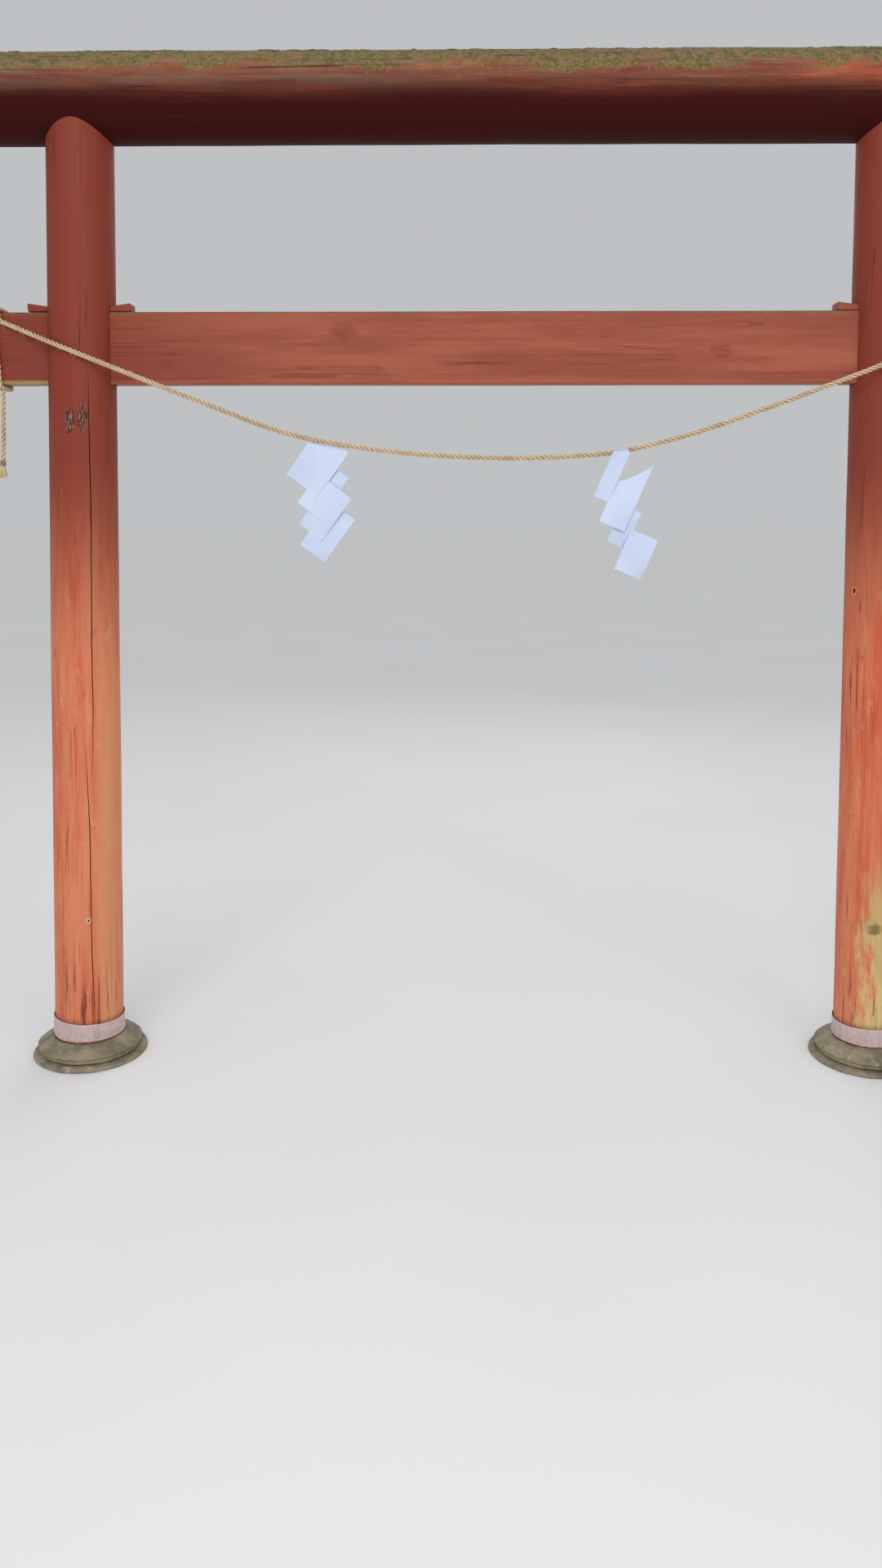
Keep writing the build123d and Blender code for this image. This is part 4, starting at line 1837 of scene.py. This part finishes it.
class TORII_OT_posts(bpy.types.Operator):
    """Shape the two leaning posts with their mortises and drying cracks"""

    bl_idname = "torii.posts"
    bl_label = "Posts"

    def execute(self, context):
        cut = cut_finish()
        for name, side in SIDES.items():
            foot = axis_place(side, -POST_SPARE)
            head = axis_place(side, LINTEL_AXIS - HEAD_DROP)
            axis = (head - foot).normalized()
            log = post_log(name, foot, head)
            cutters = [mortise_shape(side), cope_shape()]
            cutters += [crack_blade(side, axis, crack) for crack in POST_CRACKS[name]]
            for cutter in cutters:
                carve(log, cutter)
            finish_piece(log, [f"post_{name}"], [post_finish(name), cut], angle=38)
        return {"FINISHED"}


# Tie beam and wedges.

EndCheck = namedtuple("EndCheck", "height depth seed")

# Cracks in each end of the beam, the way they run across it, their reach and
# their width.
BEAM_CHECKS = [EndCheck(1.965, 0.05, 1.0), EndCheck(2.03, 0.08, 2.0)]
BEAM_CHECK_WAY = (0, 0.97, 0.24)
BEAM_CHECK_REACH = 0.05
BEAM_CHECK_WIDTH = 0.0022
# Cuts along the beam and up its sides.
BEAM_CUTS = 94
BEAM_SIDE_CUTS = 8
# Wedges: the height of the thin end, and the rounding of the edges.
WEDGE_TIP = 0.004
WEDGE_ROUNDING = 0.0018
# The wedges that are copied from the right outer one, and whether each is
# mirrored.
WEDGE_COPIES = {
    "wedge_right_inner": True,
    "wedge_left_inner": False,
    "wedge_left_outer": True,
}


class TORII_OT_beam(bpy.types.Operator):
    """Plane the tie beam and let its ends check"""

    bl_idname = "torii.beam"
    bl_label = "Tie beam"

    def execute(self, context):
        beam = add_block("beam_timber", *BEAM_BOX)
        with editing(beam):
            pick(beam, "edges", runs_along((1, 0, 0)))
            bpy.ops.mesh.subdivide(number_cuts=BEAM_CUTS)
            pick(beam, "edges", runs_along((0, 0, 1)))
            bpy.ops.mesh.subdivide(number_cuts=BEAM_SIDE_CUTS)
            pick(beam, "edges", sharper_than(1.2))
            bpy.ops.mesh.bevel(offset=sizes().arris, segments=3, affect="EDGES")
        roughen(beam, depth=0.0016, grain=0.16, stretch=(3, 1, 1))
        roughen(beam, depth=0.0005, grain=0.02, stretch=(14, 1, 1))
        for end in (-1, 1):
            for height, depth, seed in BEAM_CHECKS:
                middle = (end * (BEAM_BOX[1].x + 0.001), 0, height)
                blade = add_blade(
                    middle, (end, 0, 0), along=BEAM_CHECK_WAY, reach=BEAM_CHECK_REACH,
                    depth=depth, width=BEAM_CHECK_WIDTH, seed=seed, wander=0.002,
                )
                carve(beam, blade)
        mark_ends(beam)
        ends = end_grain_finish("beam_end_grain", (0, 0.09, 1.93))
        paint = beam_finish("beam_paint", 1.7, True)
        finish_piece(beam, ["tie_beam"], [paint, cut_finish(), ends], angle=35)
        return {"FINISHED"}


def wedge_block(low, high):
    """The right outer wedge, thin towards the post, worn and rounded."""
    wedge = add_block("wedge_block_right_outer", low, high)
    thin_top = lies_where(lambda place: place.x < low.x + 0.01 and place.z > high.z - 0.002)
    with editing(wedge):
        pick(wedge, "edges", thin_top)
        bpy.ops.transform.translate(value=(0, 0, WEDGE_TIP - (high - low).z))
        pick(wedge, "edges", sharper_than(0.8))
        bpy.ops.mesh.bevel(offset=WEDGE_ROUNDING, segments=2, affect="EDGES")
        bpy.ops.mesh.select_all(action="SELECT")
        bpy.ops.mesh.subdivide(number_cuts=3)
    roughen(wedge, depth=0.0012, grain=0.02, stretch=(4, 1, 1))
    return wedge


class TORII_OT_wedges(bpy.types.Operator):
    """Drive the four wedges in above the tie beam"""

    bl_idname = "torii.wedges"
    bl_label = "Wedges"

    def execute(self, context):
        low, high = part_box("wedge_right_outer")
        wedge = wedge_block(low, high)
        paint = beam_finish("wedge_paint", 5.5, False)
        centred = Matrix.Translation((-(low.x + high.x) / 2, 0, 0))
        for node, mirrored in WEDGE_COPIES.items():
            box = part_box(node)
            there = Matrix.Translation(((box[0].x + box[1].x) / 2, 0, 0))
            place = there @ MIRROR @ centred if mirrored else there @ centred
            twin = copy_of(wedge, node.replace("wedge", "wedge_block"), place)
            finish_piece(twin, [node], [paint], angle=40)
        finish_piece(wedge, ["wedge_right_outer"], [paint], angle=40)
        return {"FINISHED"}


# Lintel log.

LogCheck = namedtuple("LogCheck", "angle away reach depth")

# Radial cracks in the lintel's ends: angle from the top, middle and reach as
# shares of the radius, and depth.
LINTEL_CHECKS = [
    LogCheck(0.4, 0.42, 1.25, 0.09),
    LogCheck(2.5, 0.66, 0.6, 0.06),
    LogCheck(4.5, 0.6, 0.5, 0.05),
]
# How far in from the log's end these cracks are centred, and their width.
LINTEL_CHECK_INSET = 0.012
LINTEL_CHECK_WIDTH = 0.0045
# Sides of the log, and the rings that its surface is shaped by.
LINTEL_SIDES = 88
LINTEL_RINGS = 98
# The log stays a little inside its CAD radius, and its ends are cut obliquely
# from a log that is longer than it needs to be.
LINTEL_INSET = 0.002
LINTEL_SPARE = 0.03
END_SLOPE = math.radians(8)
END_ROUNDING = 0.007
# Rings of faces that each end is divided into, from the edge inwards.
END_RINGS = (0.012, 0.025, 0.03)


def oblique_log(reach, radius):
    """The lintel's log, cut obliquely at both ends and closed there."""
    ends = [Vector((way * (reach + LINTEL_SPARE), 0, LINTEL_AXIS)) for way in (-1, 1)]
    log = add_log("log_lintel", *ends, radius, radius, LINTEL_SIDES)
    middle = reach - radius * math.tan(END_SLOPE)
    for way in (-1, 1):
        with editing(log, "FACE"):
            bpy.ops.mesh.select_all(action="SELECT")
            bpy.ops.mesh.bisect(
                plane_co=(way * middle, 0, LINTEL_AXIS),
                plane_no=(way * math.cos(END_SLOPE), 0, -math.sin(END_SLOPE)),
                use_fill=True,
                clear_outer=True,
            )
    return log


def shape_log(log):
    """Round the log's rims, divide its ends and wear its surface."""
    with editing(log):
        pick(log, "edges", sharper_than(0.9))
        bpy.ops.mesh.bevel(offset=END_ROUNDING, segments=3, affect="EDGES")
    with editing(log, "FACE"):
        pick(log, "faces", lambda face: len(face.verts) > 20)
        for width in END_RINGS:
            bpy.ops.mesh.inset(thickness=width)
        bpy.ops.mesh.poke()
    ring_log(log, (1, 0, 0), LINTEL_RINGS)
    roughen(log, depth=sizes().log_relief * 1.3, grain=0.14, stretch=(3, 1, 1))
    roughen(log, depth=sizes().fibre_relief * 1.4, grain=0.014, stretch=(20, 1, 1))


class TORII_OT_lintel(bpy.types.Operator):
    """Lay the lintel log with its oblique ends and end checks"""

    bl_idname = "torii.lintel"
    bl_label = "Lintel log"

    def execute(self, context):
        reach = LINTEL_BOX[1].x
        radius = LINTEL_RADIUS - LINTEL_INSET
        log = oblique_log(reach, radius)
        shape_log(log)
        for way in (-1, 1):
            for angle, away, share, deep in LINTEL_CHECKS:
                out = Vector((0, math.sin(angle * way), math.cos(angle * way)))
                centre = Vector((way * (reach - LINTEL_CHECK_INSET), 0, LINTEL_AXIS))
                blade = add_blade(
                    centre + out * radius * away, (way, 0, 0), along=out, reach=radius * share,
                    depth=deep, width=LINTEL_CHECK_WIDTH, seed=angle + way, wander=0.004,
                )
                carve(log, blade)
        mark_ends(log)
        ends = end_grain_finish("lintel_end_grain", (0, 0.01, LINTEL_AXIS + 0.006))
        finishes = [lintel_finish(), cut_finish(), ends]
        finish_piece(log, ["lintel_log"], finishes, angle=38)
        return {"FINISHED"}


# Moss.

# Cushions: their count, the seed of their places, how far they grow along the
# lintel, how they spread round it from its top and where they stop, how dense
# a clump has to be, their least and greatest width, and how deep they sit.
MOSS_COUNT = 420
MOSS_SEED = 11
MOSS_REACH = 1.5
MOSS_SPREAD = 0.42
MOSS_STOP = 1.0
MOSS_DENSITY = 0.02
MOSS_WIDTHS = (0.006, 0.03)
MOSS_SEAT = 0.004


def moss_cushion():
    """Low ragged cushion of moss, one unit wide."""
    bpy.ops.mesh.primitive_ico_sphere_add(subdivisions=2, radius=0.5)
    bpy.context.object.scale = (1, 1, 0.5)
    cushion = take_new("moss_cushions")
    for vertex in cushion.data.vertices:
        push = 1 + 0.5 * noise.noise(vertex.co * 5)
        vertex.co = vertex.co * push
    return cushion


class TORII_OT_moss(bpy.types.Operator):
    """Grow moss cushions along the top of the lintel"""

    bl_idname = "torii.moss"
    bl_label = "Moss"

    def execute(self, context):
        chance = random.Random(MOSS_SEED)
        first = moss_cushion()
        cushions = []
        radius = LINTEL_RADIUS - MOSS_SEAT
        while len(cushions) < MOSS_COUNT:
            x = chance.uniform(-MOSS_REACH, MOSS_REACH)
            angle = chance.gauss(0, MOSS_SPREAD)
            clump = noise.noise(Vector((x * 5, angle * 3, 2.0))) + chance.uniform(-0.25, 0.25)
            if clump < MOSS_DENSITY or abs(angle) > MOSS_STOP:
                continue
            wide = chance.uniform(*MOSS_WIDTHS) * (1.25 - abs(angle))
            high = min(sizes().moss_depth, wide * 0.5) * chance.uniform(0.6, 1.0)
            spin = Matrix.Rotation(chance.uniform(0, 6.3), 4, "Z")
            size = Matrix.Diagonal((wide * chance.uniform(0.9, 1.7), wide, high * 1.8, 1))
            lift = Matrix.Translation((0, 0, radius))
            tip = Matrix.Rotation(angle, 4, "X")
            middle = Matrix.Translation((x, 0, LINTEL_AXIS))
            cushions.append(copy_of(first, "cushion", middle @ tip @ lift @ size @ spin))
        top = Matrix.Translation((0, 0, LINTEL_AXIS + radius))
        first.data.transform(top @ Matrix.Scale(0.01, 4))
        select_only(first, *cushions)
        bpy.ops.object.join()
        finish_piece(first, [], [moss_finish()], angle=60)
        return {"FINISHED"}


# Stage.

# Camera: its place in metres, its lens and sensor in millimetres, and how far
# it looks down and to the left.
CAMERA_PLACE = (-0.06, -3.28, 1.6)
CAMERA_LENS = 27.19
CAMERA_SENSOR = 36
CAMERA_DOWN = math.radians(13.3)
CAMERA_LEFT = math.radians(0.83)
# Lamps: place, size and power of each, and the point that they face.
Lamp = namedtuple("Lamp", "place size power")
LAMPS = {
    "key": Lamp((-1.3, -5.2, 4.4), 3.0, 120),
    "fill": Lamp((2.6, -4.6, 2.8), 3.0, 50),
    "back": Lamp((0.5, 4.2, 4.4), 3.5, 50),
}
LAMP_TARGET = Vector((0, 0, 1.3))
# Colour and strength of the even sky light, and the radius of the floor.
DAYLIGHT = (0.95, 0.975, 1.0)
SKY_STRENGTH = 0.72
FLOOR_RADIUS = 80


def add_camera(scene):
    """Camera at the photograph's viewing angle."""
    camera = bpy.data.cameras.new("camera")
    camera.lens = CAMERA_LENS
    camera.sensor_width = CAMERA_SENSOR
    holder = bpy.data.objects.new("camera", camera)
    holder.location = CAMERA_PLACE
    holder.rotation_euler = (math.radians(90) - CAMERA_DOWN, 0, CAMERA_LEFT)
    scene.collection.objects.link(holder)
    scene.camera = holder


def add_floor():
    """Wide round floor that fades into the sky's own tone."""
    bpy.ops.mesh.primitive_circle_add(vertices=64, radius=FLOOR_RADIUS, fill_type="NGON")
    floor = bpy.context.object
    floor.name = "floor"
    material, tree, shader = new_material("studio_floor")
    speck = clouds(tree, object_place(tree), 0.8, 2.0)
    tone = mix(tree, fade(tree, speck, 0.3, 0.7, 0.0, 0.04), colours().floor, colours().concrete)
    join(tree, shader, Base_Color=tone, Roughness=0.95)
    floor.data.materials.append(material)


def add_light(name, lamp):
    """Soft square lamp that faces the gate."""
    light = bpy.data.lights.new(name, "AREA")
    light.size = lamp.size
    light.energy = lamp.power
    holder = bpy.data.objects.new(name, light)
    holder.location = lamp.place
    aim = LAMP_TARGET - Vector(lamp.place)
    holder.rotation_euler = aim.to_track_quat("-Z", "Y").to_euler()
    bpy.context.scene.collection.objects.link(holder)


def light_world(scene):
    """Even sky light, which looks like the far floor to the camera and in reflections."""
    world = bpy.data.worlds.new("studio")
    scene.world = world
    world.use_nodes = True
    tree = world.node_tree
    tree.nodes.clear()
    path = put(tree, "ShaderNodeLightPath").outputs
    seen = calc(tree, "MAXIMUM", path["Is Camera Ray"], path["Is Glossy Ray"])
    seen = calc(tree, "MAXIMUM", seen, path["Is Transmission Ray"])
    far_floor = [light * shade for light, shade in zip(DAYLIGHT, colours().floor)]
    sky = put(tree, "ShaderNodeBackground", {"Color": DAYLIGHT, "Strength": SKY_STRENGTH})
    wall = put(tree, "ShaderNodeBackground", {"Color": far_floor, "Strength": SKY_STRENGTH})
    both = put(tree, "ShaderNodeMixShader", {0: seen, 1: sky.outputs[0], 2: wall.outputs[0]})
    put(tree, "ShaderNodeOutputWorld", {"Surface": both.outputs[0]})


class TORII_OT_stage(bpy.types.Operator):
    """Set the camera, the pale floor and the soft light"""

    bl_idname = "torii.stage"
    bl_label = "Stage"

    def execute(self, context):
        scene = context.scene
        scene.view_settings.view_transform = "Standard"
        add_camera(scene)
        add_floor()
        for name, lamp in LAMPS.items():
            add_light(name, lamp)
        light_world(scene)
        return {"FINISHED"}


# The add-on.


class TORII_PT_gate(bpy.types.Panel):
    """Steps that build the gate"""

    bl_idname = "TORII_PT_gate"
    bl_label = "Torii gate"
    bl_space_type = "VIEW_3D"
    bl_region_type = "UI"
    bl_category = "Torii"

    def draw(self, context):
        for step in STEPS:
            self.layout.operator(step.bl_idname)
        for group in (context.scene.gate_sizes, context.scene.gate_colours):
            box = self.layout.box()
            for name in group.bl_rna.properties.keys():
                if name not in ("rna_type", "name"):
                    box.prop(group, name)


STEPS = [
    TORII_OT_stage,
    TORII_OT_rope,
    TORII_OT_streamers,
    TORII_OT_footings,
    TORII_OT_collars,
    TORII_OT_posts,
    TORII_OT_beam,
    TORII_OT_wedges,
    TORII_OT_lintel,
    TORII_OT_moss,
]
CLASSES = [GateSizes, GateColours, *STEPS, TORII_PT_gate]


def register():
    """Register the classes and keep the settings on the scene."""
    for kind in CLASSES:
        bpy.utils.register_class(kind)
    bpy.types.Scene.gate_sizes = PointerProperty(type=GateSizes)
    bpy.types.Scene.gate_colours = PointerProperty(type=GateColours)


def unregister():
    """Take the settings and the classes away again."""
    del bpy.types.Scene.gate_colours
    del bpy.types.Scene.gate_sizes
    for kind in reversed(CLASSES):
        bpy.utils.unregister_class(kind)


def main():
    """Build every piece of the gate."""
    register()
    make_grain()
    make_spot()
    make_growth()
    for step in STEPS:
        group, name = step.bl_idname.split(".")
        getattr(getattr(bpy.ops, group), name)()


if __name__ == "__main__":
    main()
